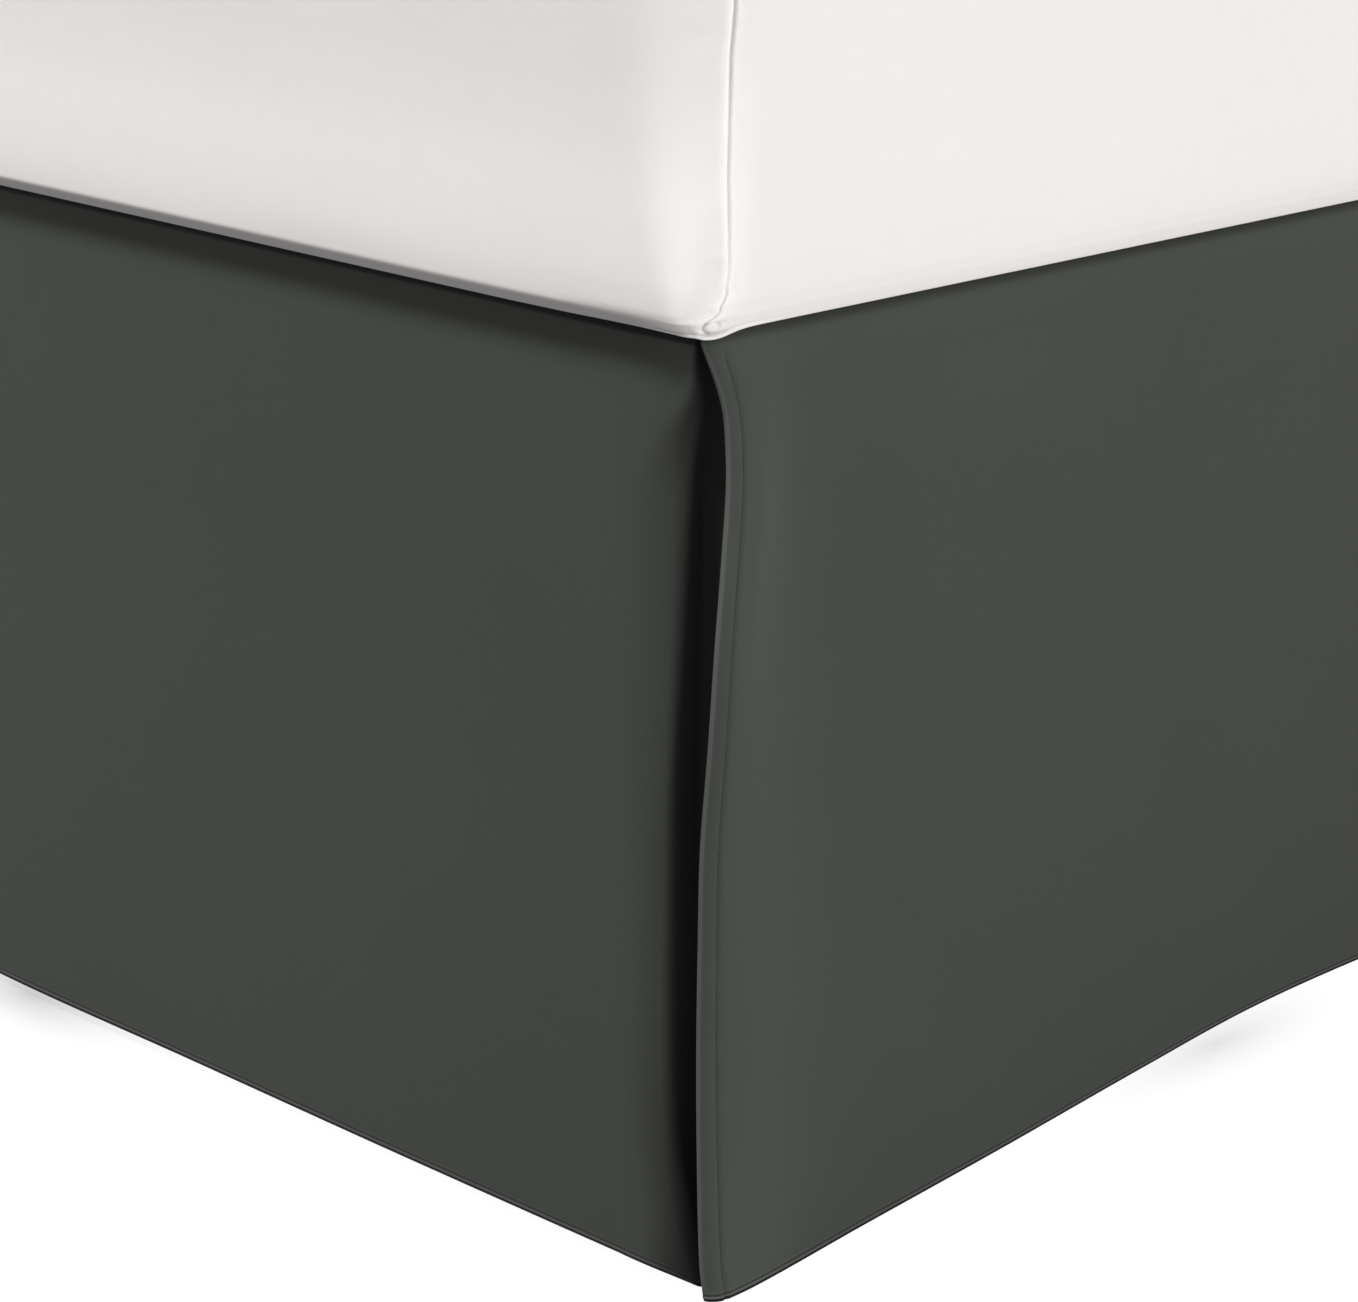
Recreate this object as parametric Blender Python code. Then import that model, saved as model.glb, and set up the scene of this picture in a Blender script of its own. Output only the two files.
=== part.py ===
"""Bed skirt on a plain bed.

A flat deck lies between mattress and box spring.  Three hemmed drops hang from its edges: one
across the foot and one down each side.  At a foot corner the two drops overlap and are not
joined: the end of the side drop hangs over the end of the foot drop, which rolls in behind it.

Metres, +Z up.  The head of the bed is at +Y, the foot at -Y, and the origin is on the floor
under the middle of the bed.
"""
import math

import bpy
import bmesh
from mathutils import Vector

# ---- bed and skirt ---------------------------------------------------------
BED_WIDTH = 1.524
BED_LENGTH = 2.032
DROP = 0.381                # seam to hem
HEM_LIFT = 0.008            # hem above the floor
TOUCH = 0.0003              # between pieces that rest on each other
CORNER_TOUCH = 0.0001       # added where rounded edges of different steps meet

HALF_WIDTH = BED_WIDTH / 2
HALF_LENGTH = BED_LENGTH / 2
SEAM_Z = HEM_LIFT + DROP    # top of the deck

# ---- cloth -----------------------------------------------------------------
DECK_THICK = 0.0012
DROP_THICK = 0.0012
HEM_THICK = 0.0022          # the hem is turned up on the inside
HEM_DEPTH = 0.025
HEM_STEP = 0.0015           # height over which the turned-up hem ends
EDGE_CURL = 0.006           # radius on which a drop turns over the edge of the bed
CORNER_RADIUS = 0.010       # of the deck's edge, seen from above
SIDE_HEM = 0.009            # narrow hem at the end of a side drop

# ---- box spring and legs ---------------------------------------------------
LEG_HEIGHT = 0.160
LEG_RADIUS_TOP = 0.030
LEG_RADIUS_FOOT = 0.022
LEG_CHAMFER = 0.002
LEG_INSET = 0.072           # leg's axis in from the deck's edge
BASE_INSET = 0.008
BASE_CORNER = 0.080
BASE_ROUND = 0.010

# ---- mattress --------------------------------------------------------------
MATTRESS_HEIGHT = 0.254
MATTRESS_CROWN = 0.008
MATTRESS_END = 0.011        # its ends stand out this much further than its sides
# Height over the deck, how far the mattress stands out there past the deck's edge at its sides
# and, over MATTRESS_END, at its ends, whose lower edge is pulled under, and the radius of its
# corners, which are sharper where they are tucked under.
MATTRESS_PROFILE = (
    {"up": 0.0000, "side": -0.0060, "end": -0.0010, "corner": 0.0060},
    {"up": 0.0007, "side": 0.0025, "end": 0.0022, "corner": 0.0060},
    {"up": 0.0054, "side": 0.0048, "end": 0.0069, "corner": 0.0083},
    {"up": 0.0085, "side": 0.0058, "end": 0.0078, "corner": 0.0104},
    {"up": 0.0180, "side": 0.0076, "end": 0.0088, "corner": 0.0160},
    {"up": 0.0390, "side": 0.0087, "end": 0.0088, "corner": 0.0250},
    {"up": 0.0700, "side": 0.0088, "end": 0.0084, "corner": 0.0337},
    {"up": 0.1000, "side": 0.0101, "end": 0.0106, "corner": 0.0400},
    {"up": 0.1350, "side": 0.0123, "end": 0.0136, "corner": 0.0450},
    {"up": 0.1600, "side": 0.0129, "end": 0.0143, "corner": 0.0475},
    {"up": 0.2050, "side": 0.0100, "end": 0.0104, "corner": 0.0500},
    {"up": 0.2280, "side": 0.0035, "end": 0.0034, "corner": 0.0520},
    {"up": 0.2460, "side": -0.0115, "end": -0.0120, "corner": 0.0540},
    {"up": 0.2540, "side": -0.0350, "end": -0.0350, "corner": 0.0550},
)

# ---- how the drops hang ----------------------------------------------------
# Hem of a drop, out from the deck's edge, by the distance along that edge from the corner
# where the foot meets the right-hand side.
FOOT_HEM = (
    {"along": 0.000, "out": -0.0097},
    {"along": 0.090, "out": -0.0049},
    {"along": 0.190, "out": 0.0000},
    {"along": 0.310, "out": 0.0050},
    {"along": 0.440, "out": 0.0108},
    {"along": 0.560, "out": 0.0098},
    {"along": 0.700, "out": 0.0036},
    {"along": 0.840, "out": 0.0022},
    {"along": 0.980, "out": 0.0088},
    {"along": 1.110, "out": 0.0094},
    {"along": 1.250, "out": 0.0010},
    {"along": 1.390, "out": -0.0058},
    {"along": 1.524, "out": -0.0090},
)
RIGHT_HEM = (
    {"along": 0.000, "out": 0.0076},
    {"along": 0.027, "out": 0.0086},
    {"along": 0.093, "out": 0.0049},
    {"along": 0.189, "out": 0.0000},
    {"along": 0.297, "out": -0.0067},
    {"along": 0.385, "out": -0.0110},
    {"along": 0.470, "out": -0.0086},
    {"along": 0.600, "out": 0.0012},
    {"along": 0.740, "out": 0.0088},
    {"along": 0.890, "out": 0.0060},
    {"along": 1.060, "out": -0.0042},
    {"along": 1.230, "out": 0.0006},
    {"along": 1.400, "out": 0.0094},
    {"along": 1.570, "out": 0.0052},
    {"along": 1.740, "out": -0.0030},
    {"along": 1.900, "out": 0.0028},
    {"along": 2.032, "out": 0.0074},
)
LEFT_HEM = (
    {"along": 0.000, "out": 0.0070},
    {"along": 0.060, "out": 0.0082},
    {"along": 0.170, "out": 0.0012},
    {"along": 0.300, "out": -0.0072},
    {"along": 0.430, "out": -0.0044},
    {"along": 0.580, "out": 0.0062},
    {"along": 0.740, "out": 0.0090},
    {"along": 0.900, "out": 0.0012},
    {"along": 1.060, "out": -0.0064},
    {"along": 1.220, "out": -0.0014},
    {"along": 1.390, "out": 0.0078},
    {"along": 1.560, "out": 0.0084},
    {"along": 1.730, "out": 0.0004},
    {"along": 1.890, "out": -0.0020},
    {"along": 2.032, "out": 0.0046},
)
# Foot end of a side drop, by height over the hem: how far up the side from the corner its edge
# hangs, and how far its narrow hem curls in.
FLAP = (
    {"up": 0.000, "along": 0.0025, "curl": 0.0062},
    {"up": 0.017, "along": 0.0004, "curl": 0.0058},
    {"up": 0.064, "along": -0.0009, "curl": 0.0045},
    {"up": 0.106, "along": -0.0012, "curl": 0.0036},
    {"up": 0.147, "along": -0.0006, "curl": 0.0029},
    {"up": 0.187, "along": 0.0005, "curl": 0.0025},
    {"up": 0.225, "along": 0.0043, "curl": 0.0022},
    {"up": 0.263, "along": 0.0074, "curl": 0.0019},
    {"up": 0.297, "along": 0.0105, "curl": 0.0017},
    {"up": 0.326, "along": 0.0124, "curl": 0.0016},
    {"up": 0.349, "along": 0.0105, "curl": 0.0012},
    {"up": 0.358, "along": 0.0078, "curl": 0.0011},
    {"up": 0.367, "along": 0.0041, "curl": 0.0019},
    {"up": 0.375, "along": 0.0018, "curl": 0.0043},
    {"up": 0.381, "along": 0.0007, "curl": 0.0063},
)
# End of the foot drop, by height over the hem.  Seen from above it leans in from the foot's
# plane over LEAN_LENGTH, rolls inward at "start" from the corner and "back" from its plane,
# goes "deep" into the bed on the heading "turn", bends back to the heading "ahead", and rounds
# to run up the side, "inset" from the side's plane.  A heading is in degrees: 0 runs along the
# foot to the corner, 90 into the bed.
TUCK = (
    {"up": 0.000, "start": 0.0090, "back": 0.0006, "lean": 4.0, "roll": 0.0052, "turn": 50.0,
     "deep": 0.0006, "ahead": 42.0, "round": 0.0052, "inset": 0.0000},
    {"up": 0.025, "start": 0.0188, "back": 0.0012, "lean": 7.0, "roll": 0.0065, "turn": 82.0,
     "deep": 0.0040, "ahead": 26.0, "round": 0.0060, "inset": 0.0000},
    {"up": 0.064, "start": 0.0252, "back": 0.0018, "lean": 13.0, "roll": 0.0060, "turn": 98.0,
     "deep": 0.0090, "ahead": 4.0, "round": 0.0050, "inset": 0.0010},
    {"up": 0.187, "start": 0.0247, "back": 0.0032, "lean": 18.0, "roll": 0.0055, "turn": 100.0,
     "deep": 0.0095, "ahead": 4.0, "round": 0.0050, "inset": 0.0040},
    {"up": 0.255, "start": 0.0236, "back": 0.0046, "lean": 20.0, "roll": 0.0050, "turn": 100.0,
     "deep": 0.0095, "ahead": 4.0, "round": 0.0050, "inset": 0.0040},
    {"up": 0.326, "start": 0.0228, "back": 0.0056, "lean": 20.0, "roll": 0.0046, "turn": 100.0,
     "deep": 0.0090, "ahead": 4.0, "round": 0.0050, "inset": 0.0040},
    {"up": 0.352, "start": 0.0175, "back": 0.0038, "lean": 11.0, "roll": 0.0060, "turn": 85.0,
     "deep": 0.0040, "ahead": 25.0, "round": 0.0060, "inset": 0.0030},
    {"up": 0.372, "start": 0.0122, "back": 0.0022, "lean": 1.0, "roll": 0.0078, "turn": 48.0,
     "deep": 0.0008, "ahead": 40.0, "round": 0.0078, "inset": 0.0022},
)
TUCK_BEND = 0.0035          # radius of the bend at the bottom of the tuck
TUCK_TOTAL = 0.096          # cloth from the start of the lean to the free edge
LEAN_LENGTH = 0.048         # from the corner
LEAN_STEPS = 4
ROLL_STEPS = 5
BEND_STEPS = 4
ROUND_OFF_STEPS = 3
FREE_STEPS = 2
FLAP_BLEND = 0.060          # over which the side drop's edge pulls its cloth along

# ---- steps of the meshes ---------------------------------------------------
CURL_ANGLES = (90.0, 50.0, 0.0)
LEVELS = (0.366, 0.354, 0.335, 0.300, 0.255, 0.205, 0.155, 0.105, 0.060, HEM_DEPTH + HEM_STEP,
          HEM_DEPTH, 0.0)
BEND_UP = DROP - EDGE_CURL  # height over the hem where a drop hangs straight
EDGE_STATION = 0.003        # first step at the free edge of a side drop
FACE_STATION = 0.014        # first step past the lean of the foot drop
STATION_GROWTH = 1.45
WIDEST_STATION = 0.068
ROUND_STEPS = 6             # faces in a rounded corner


def clear_scene():
    for item in list(bpy.data.objects):
        bpy.data.objects.remove(item, do_unlink=True)


def cloth_material(name, colour, roughness):
    material = bpy.data.materials.new(name)
    material.use_nodes = True
    shader = material.node_tree.nodes["Principled BSDF"]
    shader.inputs["Base Color"].default_value = (*colour, 1.0)
    shader.inputs["Roughness"].default_value = roughness
    shader.inputs["Metallic"].default_value = 0.0
    material.diffuse_color = (*colour, 1.0)
    return material


def smooth(t):
    """0 to 1 with level ends."""
    t = min(max(t, 0.0), 1.0)
    return t * t * (3.0 - 2.0 * t)


def read(table, key, column, value):
    """Smooth curve through one column of a table whose key column rises."""
    keys = [row[key] for row in table]
    values = [row[column] for row in table]
    if value <= keys[0]:
        return values[0]
    if value >= keys[-1]:
        return values[-1]
    i = max(n for n in range(len(keys) - 1) if keys[n] <= value)
    slopes = []
    for n in (i, i + 1):
        before, after = max(n - 1, 0), min(n + 1, len(keys) - 1)
        slopes.append((values[after] - values[before]) / (keys[after] - keys[before]))
    span = keys[i + 1] - keys[i]
    t = (value - keys[i]) / span
    start = (1 + 2 * t) * (1 - t) ** 2 * values[i] + t * (1 - t) ** 2 * span * slopes[0]
    end = t * t * (3 - 2 * t) * values[i + 1] + t * t * (t - 1) * span * slopes[1]
    return start + end


def swing(table, along, up):
    """How far a drop stands out of its plane: nothing at the seam, all of it at the hem."""
    depth = max(0.0, 1.0 - up / BEND_UP)
    return read(table, "along", "out", along) * depth ** 2


def spread(length, step):
    """Distances from 0 to length, close at first and then evenly wide."""
    marks = [0.0]
    while marks[-1] + step < length:
        marks.append(marks[-1] + step)
        step = min(step * STATION_GROWTH, WIDEST_STATION)
    if length - marks[-1] < step / 2:
        marks.pop()
    return marks + [length]


def levels():
    """Each level of a drop, top first: its angle in the curl over the edge, height over the hem."""
    curled = [(math.radians(a), BEND_UP + EDGE_CURL * math.sin(math.radians(a)))
              for a in CURL_ANGLES]
    return curled + [(0.0, up) for up in LEVELS]


def placed(out_plane, inward, radius, angle, up):
    """A point of a drop: its place in plan, turned over the edge by the curl's angle."""
    shift = radius * (1.0 - math.cos(angle))
    z = HEM_LIFT + (BEND_UP + radius * math.sin(angle) if angle else up)
    return Vector((out_plane[0] + inward[0] * shift, out_plane[1] + inward[1] * shift, z))


# ---- the side drops --------------------------------------------------------
def flap_curl(distance, up):
    """How far the side drop turns in near its free edge, on a round the width of its hem."""
    reach = max(0.0, 1.0 - distance / SIDE_HEM)
    full = 0.93
    share = (1 - math.sqrt(1 - (full * reach) ** 2)) / (1 - math.sqrt(1 - full ** 2))
    return read(FLAP, "up", "curl", up) * share


def side_plan(hem, distance, up):
    """Side drop in plan from the foot corner: x out of the side's plane, y up the side."""
    edge = read(FLAP, "up", "along", up)
    y = distance + edge * (1.0 - smooth(distance / FLAP_BLEND))
    x = swing(hem, y, up) - flap_curl(distance, up)
    return x, y


def side_inward(y):
    """Inward direction in plan, turning round the corner."""
    if y >= CORNER_RADIUS:
        return -1.0, 0.0
    sine = (CORNER_RADIUS - y) / CORNER_RADIUS
    return -math.sqrt(1.0 - sine * sine), sine


def side_points(hem):
    """Outer surface of the right-hand drop, rows from the top."""
    rows = []
    for angle, up in levels():
        row = []
        for distance in spread(BED_LENGTH, EDGE_STATION):
            x, y = side_plan(hem, distance, up)
            inward = side_inward(y) if angle else (-1.0, 0.0)
            point = placed((x, y), inward, EDGE_CURL, angle, up)
            row.append(Vector((HALF_WIDTH + point.x, -HALF_LENGTH + point.y, point.z)))
        rows.append(row)
    return rows


# ---- the foot drop ---------------------------------------------------------
def heading_vector(heading):
    turn = math.radians(heading)
    return Vector((math.cos(turn), math.sin(turn)))


def arc(point, radius, start, end, steps):
    """Points after a given one along a round that turns from one heading to another, with the
    heading at each; a falling heading turns to the right."""
    side = 1.0 if end > start else -1.0
    left = heading_vector(start + 90.0) * side
    centre = point + left * radius
    made = []
    for n in range(1, steps + 1):
        heading = start + (end - start) * n / steps
        made.append((centre - heading_vector(heading + 90.0) * side * radius, heading))
    return made


def straight(point, heading, length, steps):
    return [(point + heading_vector(heading) * length * n / steps, heading)
            for n in range(1, steps + 1)]


def lean_in(start, end, heading):
    """Points after the first along a soft curve that ends on a heading."""
    reach = (end - start).length
    leave, arrive = Vector((reach, 0.0)), heading_vector(heading) * reach
    made = []
    for n in range(1, LEAN_STEPS + 1):
        t = n / LEAN_STEPS
        point = (start * (2 * t ** 3 - 3 * t ** 2 + 1) + leave * (t ** 3 - 2 * t ** 2 + t)
                 + end * (3 * t ** 2 - 2 * t ** 3) + arrive * (t ** 3 - t ** 2))
        made.append((point, heading * t * t))
    return made


def tuck_path(along, up):
    """The end of the foot drop in plan, from the start of its lean to its free edge: points and
    headings.  x is along the foot, negative before the corner, and y is into the bed."""
    size = {name: read(TUCK, "up", name, up) for name in TUCK[0] if name != "up"}
    first = Vector((-LEAN_LENGTH, -swing(FOOT_HEM, along(LEAN_LENGTH), up)))
    start = size["start"]
    fold = Vector((-start, size["back"] - swing(FOOT_HEM, along(start), up)))
    path = [(first, 0.0)] + lean_in(first, fold, size["lean"])
    path += arc(path[-1][0], size["roll"], size["lean"], size["turn"], ROLL_STEPS)
    path += straight(path[-1][0], size["turn"], size["deep"], 1)
    path += arc(path[-1][0], TUCK_BEND, size["turn"], size["ahead"], BEND_STEPS)
    rounding = size["round"] * (1.0 - heading_vector(size["ahead"]).y)
    across = (-size["inset"] - path[-1][0].x - rounding) / heading_vector(size["ahead"]).x
    path += straight(path[-1][0], size["ahead"], across, 1)
    path += arc(path[-1][0], size["round"], size["ahead"], 90.0, ROUND_OFF_STEPS)
    used = sum((b[0] - a[0]).length for a, b in zip(path, path[1:]))
    return path + straight(path[-1][0], 90.0, TUCK_TOTAL - used, FREE_STEPS)


def half_plan(along, up):
    """Half of the foot drop in plan, from its free edge to the middle: point, direction into
    the bed, and how far it is set back from the foot's plane to pass under the side drop."""
    back = read(TUCK, "up", "back", BEND_UP)
    made = []
    for point, heading in reversed(tuck_path(along, up)):
        into = heading_vector(heading + 90.0)
        share = 1.0 - smooth((-point.x - CORNER_RADIUS) / (LEAN_LENGTH - CORNER_RADIUS))
        made.append((point, into, back * share))
    for distance in spread(HALF_WIDTH - LEAN_LENGTH, FACE_STATION)[1:]:
        s = LEAN_LENGTH + distance
        made.append((Vector((-s, -swing(FOOT_HEM, along(s), up))), Vector((0.0, 1.0)), 0.0))
    return made


def foot_points():
    """Outer surface of the foot drop, rows from the top, from its left end to its right."""
    rows = []
    for angle, up in levels():
        left = half_plan(lambda s: BED_WIDTH - s, up)
        right = half_plan(lambda s: s, up)
        row = []
        for side, half in ((-1, left), (1, right[-2::-1])):
            for plan, into, back in half:
                point = placed(plan, into, EDGE_CURL - back, angle, up)
                row.append(Vector((side * (HALF_WIDTH + point.x), -HALF_LENGTH + point.y, point.z)))
        rows.append(row)
    return rows


def drop(name, rows, material):
    """One hemmed sheet whose outer surface is a grid of points, left to right as seen from
    outside, top row first."""
    mesh = bpy.data.meshes.new(name)
    wide = len(rows[0])
    points = [point for row in rows for point in row]
    faces = []
    for r in range(len(rows) - 1):
        for c in range(wide - 1):
            a = r * wide + c
            faces.append((a, a + wide, a + wide + 1, a + 1))
    mesh.from_pydata(points, [], faces)
    mesh.shade_smooth()
    sheet = bpy.data.objects.new(name, mesh)
    bpy.context.scene.collection.objects.link(sheet)
    sheet.data.materials.append(material)
    hem = sheet.vertex_groups.new(name="hem")
    low = HEM_LIFT + HEM_DEPTH + HEM_STEP / 2
    hem.add([i for i, point in enumerate(points) if point.z < low], 1.0, "REPLACE")
    thick = sheet.modifiers.new("Cloth and hem", "SOLIDIFY")
    thick.thickness = HEM_THICK
    thick.offset = -1.0
    thick.vertex_group = hem.name
    thick.thickness_vertex_group = DROP_THICK / HEM_THICK
    return sheet


# ---- solids stacked from rounded outlines ----------------------------------
def outline(half_x, half_y, radius, z, middles=0):
    """Rounded rectangle, anticlockwise from above, with extra points along its straight sides."""
    ring = []
    corners = ((1, -1, -90), (1, 1, 0), (-1, 1, 90), (-1, -1, 180))
    for n, (sx, sy, first) in enumerate(corners):
        centre = (sx * (half_x - radius), sy * (half_y - radius))
        for step in range(ROUND_STEPS + 1):
            angle = math.radians(first + 90.0 * step / ROUND_STEPS)
            ring.append((centre[0] + radius * math.cos(angle), centre[1] + radius * math.sin(angle), z))
        ahead = corners[(n + 1) % 4]
        last = ring[-1]
        end_angle = math.radians(ahead[2])
        following = (ahead[0] * (half_x - radius) + radius * math.cos(end_angle),
                     ahead[1] * (half_y - radius) + radius * math.sin(end_angle))
        for m in range(1, middles + 1):
            t = m / (middles + 1)
            ring.append((last[0] + (following[0] - last[0]) * t,
                         last[1] + (following[1] - last[1]) * t, z))
    return ring


def stack(name, rings, material, top_point=None):
    """Closed solid through rings of equal count, lowest first."""
    solid = bmesh.new()
    made = [[solid.verts.new(point) for point in ring] for ring in rings]
    count = len(made[0])
    solid.faces.new(reversed(made[0]))
    for low, high in zip(made, made[1:]):
        for i in range(count):
            j = (i + 1) % count
            solid.faces.new((low[i], low[j], high[j], high[i]))
    if top_point is None:
        solid.faces.new(made[-1])
    else:
        tip = solid.verts.new(top_point)
        for i in range(count):
            solid.faces.new((made[-1][i], made[-1][(i + 1) % count], tip))
    mesh = bpy.data.meshes.new(name)
    solid.to_mesh(mesh)
    solid.free()
    mesh.shade_smooth()
    mesh.set_sharp_from_angle(angle=math.radians(40))
    piece = bpy.data.objects.new(name, mesh)
    bpy.context.scene.collection.objects.link(piece)
    piece.data.materials.append(material)
    return piece


def deck(material):
    """The flat panel; its edge meets the last, slightly leaning face of each drop's curl."""
    lean = math.radians((CURL_ANGLES[0] - CURL_ANGLES[1]) / 2)
    inset = EDGE_CURL + DROP_THICK * math.sin(lean) + TOUCH + CORNER_TOUCH
    sizes = (HALF_WIDTH - inset, HALF_LENGTH - inset, CORNER_RADIUS - inset)
    rings = [outline(*sizes, z) for z in (SEAM_Z - DECK_THICK, SEAM_Z)]
    return stack("deck", rings, material)


def box_spring(material):
    low = LEG_HEIGHT + TOUCH
    high = SEAM_Z - DECK_THICK - TOUCH
    rings = []
    for end, sign in ((low, 1), (high, -1)):
        edge = []
        for angle in (0.0, 45.0, 90.0):
            turn = math.radians(angle)
            inset = BASE_INSET + BASE_ROUND * (1.0 - math.sin(turn))
            z = end + sign * BASE_ROUND * (1.0 - math.cos(turn))
            sizes = (HALF_WIDTH - inset, HALF_LENGTH - inset, BASE_CORNER + BASE_INSET - inset)
            edge.append(outline(*sizes, z))
        rings += edge if sign > 0 else edge[::-1]
    return stack("box_spring", rings, material)


def leg(name, x, y, material):
    rings = []
    for z, radius in ((0.0, LEG_RADIUS_FOOT - LEG_CHAMFER), (LEG_CHAMFER, LEG_RADIUS_FOOT),
                      (LEG_HEIGHT, LEG_RADIUS_TOP)):
        sides = 16
        turns = [math.tau * n / sides for n in range(sides)]
        rings.append([(radius * math.cos(t), radius * math.sin(t), z) for t in turns])
    piece = stack(name, rings, material)
    piece.location = (x, y, 0.0)
    return piece


def mattress(material):
    low = SEAM_Z + TOUCH
    rings = []
    for row in MATTRESS_PROFILE:
        half_length = HALF_LENGTH + MATTRESS_END + row["end"]
        rings.append(outline(HALF_WIDTH + row["side"], half_length, row["corner"],
                             low + row["up"], middles=2))
    top = low + MATTRESS_HEIGHT
    corner = MATTRESS_PROFILE[-1]["corner"]
    for share in (0.75, 0.4):
        crown = MATTRESS_CROWN * (1.0 - share ** 2)
        rings.append(outline(HALF_WIDTH * share, HALF_LENGTH * share, corner, top + crown,
                             middles=2))
    return stack("mattress", rings, material, top_point=(0.0, 0.0, top + MATTRESS_CROWN))


def build():
    clear_scene()
    skirt_cloth = cloth_material("skirt cloth", (0.063, 0.068, 0.060), 0.85)
    cover_cloth = cloth_material("mattress cover", (0.84, 0.82, 0.81), 0.9)
    base_cloth = cloth_material("box spring cloth", (0.60, 0.58, 0.55), 0.9)
    leg_paint = cloth_material("leg paint", (0.02, 0.02, 0.02), 0.45)

    deck(skirt_cloth)
    drop("foot_drop", foot_points(), skirt_cloth)
    drop("side_drop_right", side_points(RIGHT_HEM), skirt_cloth)
    mirrored = [[Vector((-p.x, p.y, p.z)) for p in reversed(row)] for row in side_points(LEFT_HEM)]
    drop("side_drop_left", mirrored, skirt_cloth)
    box_spring(base_cloth)
    mattress(cover_cloth)
    rows = (("foot", -HALF_LENGTH + LEG_INSET), ("middle", 0.0), ("head", HALF_LENGTH - LEG_INSET))
    for place, y in rows:
        for side, sign in (("left", -1), ("right", 1)):
            leg(f"leg_{place}_{side}", sign * (HALF_WIDTH - LEG_INSET), y, leg_paint)


build()
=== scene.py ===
"""Looks of a bed skirt on a plain bed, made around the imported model.

Every drop of the skirt is a fine closed sheet on the folds of its solid, with turned hems,
stitching and creases.  The mattress wears a fitted cover with a seam down each corner, and the
box spring, the legs and the deck get the same care where they can be seen.

Metres, +Z up.  The foot of the bed is at -Y, and the drops meet at the foot corners.
"""
import math

import bpy
import numpy as np
from mathutils import Matrix, Vector


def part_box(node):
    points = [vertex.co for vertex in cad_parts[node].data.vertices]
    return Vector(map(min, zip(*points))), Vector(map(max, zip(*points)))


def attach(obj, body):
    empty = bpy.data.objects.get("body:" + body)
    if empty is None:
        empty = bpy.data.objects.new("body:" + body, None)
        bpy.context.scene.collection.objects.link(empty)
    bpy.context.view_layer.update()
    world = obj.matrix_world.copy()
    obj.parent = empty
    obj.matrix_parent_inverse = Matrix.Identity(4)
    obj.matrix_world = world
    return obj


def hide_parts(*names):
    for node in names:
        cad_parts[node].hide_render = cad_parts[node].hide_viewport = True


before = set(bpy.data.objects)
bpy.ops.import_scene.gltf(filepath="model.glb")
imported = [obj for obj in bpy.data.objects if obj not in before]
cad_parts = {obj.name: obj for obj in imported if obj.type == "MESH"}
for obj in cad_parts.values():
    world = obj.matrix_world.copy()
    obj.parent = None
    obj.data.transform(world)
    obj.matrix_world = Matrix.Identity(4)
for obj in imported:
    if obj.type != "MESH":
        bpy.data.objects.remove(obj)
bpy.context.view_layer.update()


def make_table(columns, *rows):
    """Rows of numbers, each under the names of its columns."""
    names = columns.split()
    return [dict(zip(names, row)) for row in rows]


# ---- sizes of the model ----
DECK_LOW, DECK_HIGH = (Vector(corner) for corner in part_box("deck"))
HEM_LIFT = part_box("foot_drop")[0][2]        # hem above the floor
SEAM_Z = DECK_HIGH.z
BED_WIDTH = 1.524
BED_LENGTH = 2.032
HALF_WIDTH = BED_WIDTH / 2
HALF_LENGTH = BED_LENGTH / 2
FOOT_CORNER = (HALF_WIDTH, -HALF_LENGTH, 0.0)       # the right-hand one
DROP = SEAM_Z - HEM_LIFT
EDGE_CURL = 0.006           # radius on which a drop turns over the edge of the bed
CORNER_RADIUS = 0.010
BEND_UP = DROP - EDGE_CURL  # height over the hem where a drop hangs straight
MIRROR = (-1.0, 1.0, 1.0)

# ---- the photograph's view ----
PHOTO_WIDTH = 1358          # pixels
FOCAL_PIXELS = 3272.93
SENSOR = 36.0               # millimetres
CAMERA_RIGHT = (0.71377, 0.70025, 0.01336)
CAMERA_UP = (-0.22415, 0.21032, 0.95159)
CAMERA_BACK = (0.66354, -0.68221, 0.30708)
CAMERA_PLACE = (1.5433, -1.8320, 0.6368)

# ---- cloth of the skirt ----
CLOTH_THICK = 0.0009
HEM_THICK = 0.0020          # two layers, turned up on the inside
HEM_DEPTH = 0.025
NARROW_HEM = 0.0082         # stitched hem at a free upright edge
NARROW_LAYER = NARROW_HEM + 0.001       # how far its inner layer reaches
LAYER_STEP = 0.0008         # over which a turned-in layer ends
RIM_STEPS = 3               # faces round the edge of a sheet, each side of its middle
# The line of stitches down a narrow hem: a groove in the cloth, and painted shade along it.
STITCH_GROOVE = {"at": NARROW_HEM, "wide": 0.0008, "deep": 0.0006}
STITCH_PAINTED_SHADE = {"at": NARROW_HEM, "wide": 0.0009, "dark": 0.30}
STITCH_FADE = 0.008         # over which both end below the bend
STITCH_APART = 0.0034
STITCH_LOW = 0.006          # the lowest stitch, over the hem
STITCH_HIGH = BEND_UP - 0.004
STITCH_THREAD = 0.00024     # radius of the thread
THREAD_SIDES = 6
THREAD_STEPS = 4            # from a stitch to the next
THREAD_SIZES = (0.45, 1.0, 1.0, 0.45)   # of its rings, over the thread's radius
THREAD_ARCH = 0.9           # how far a stitch stands up in its middle, and how deep its ends
THREAD_SUNK = 0.3           # lie, in the same measure
THREAD_TONE = 1.15          # how light the thread is, over the cloth's own colour

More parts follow.
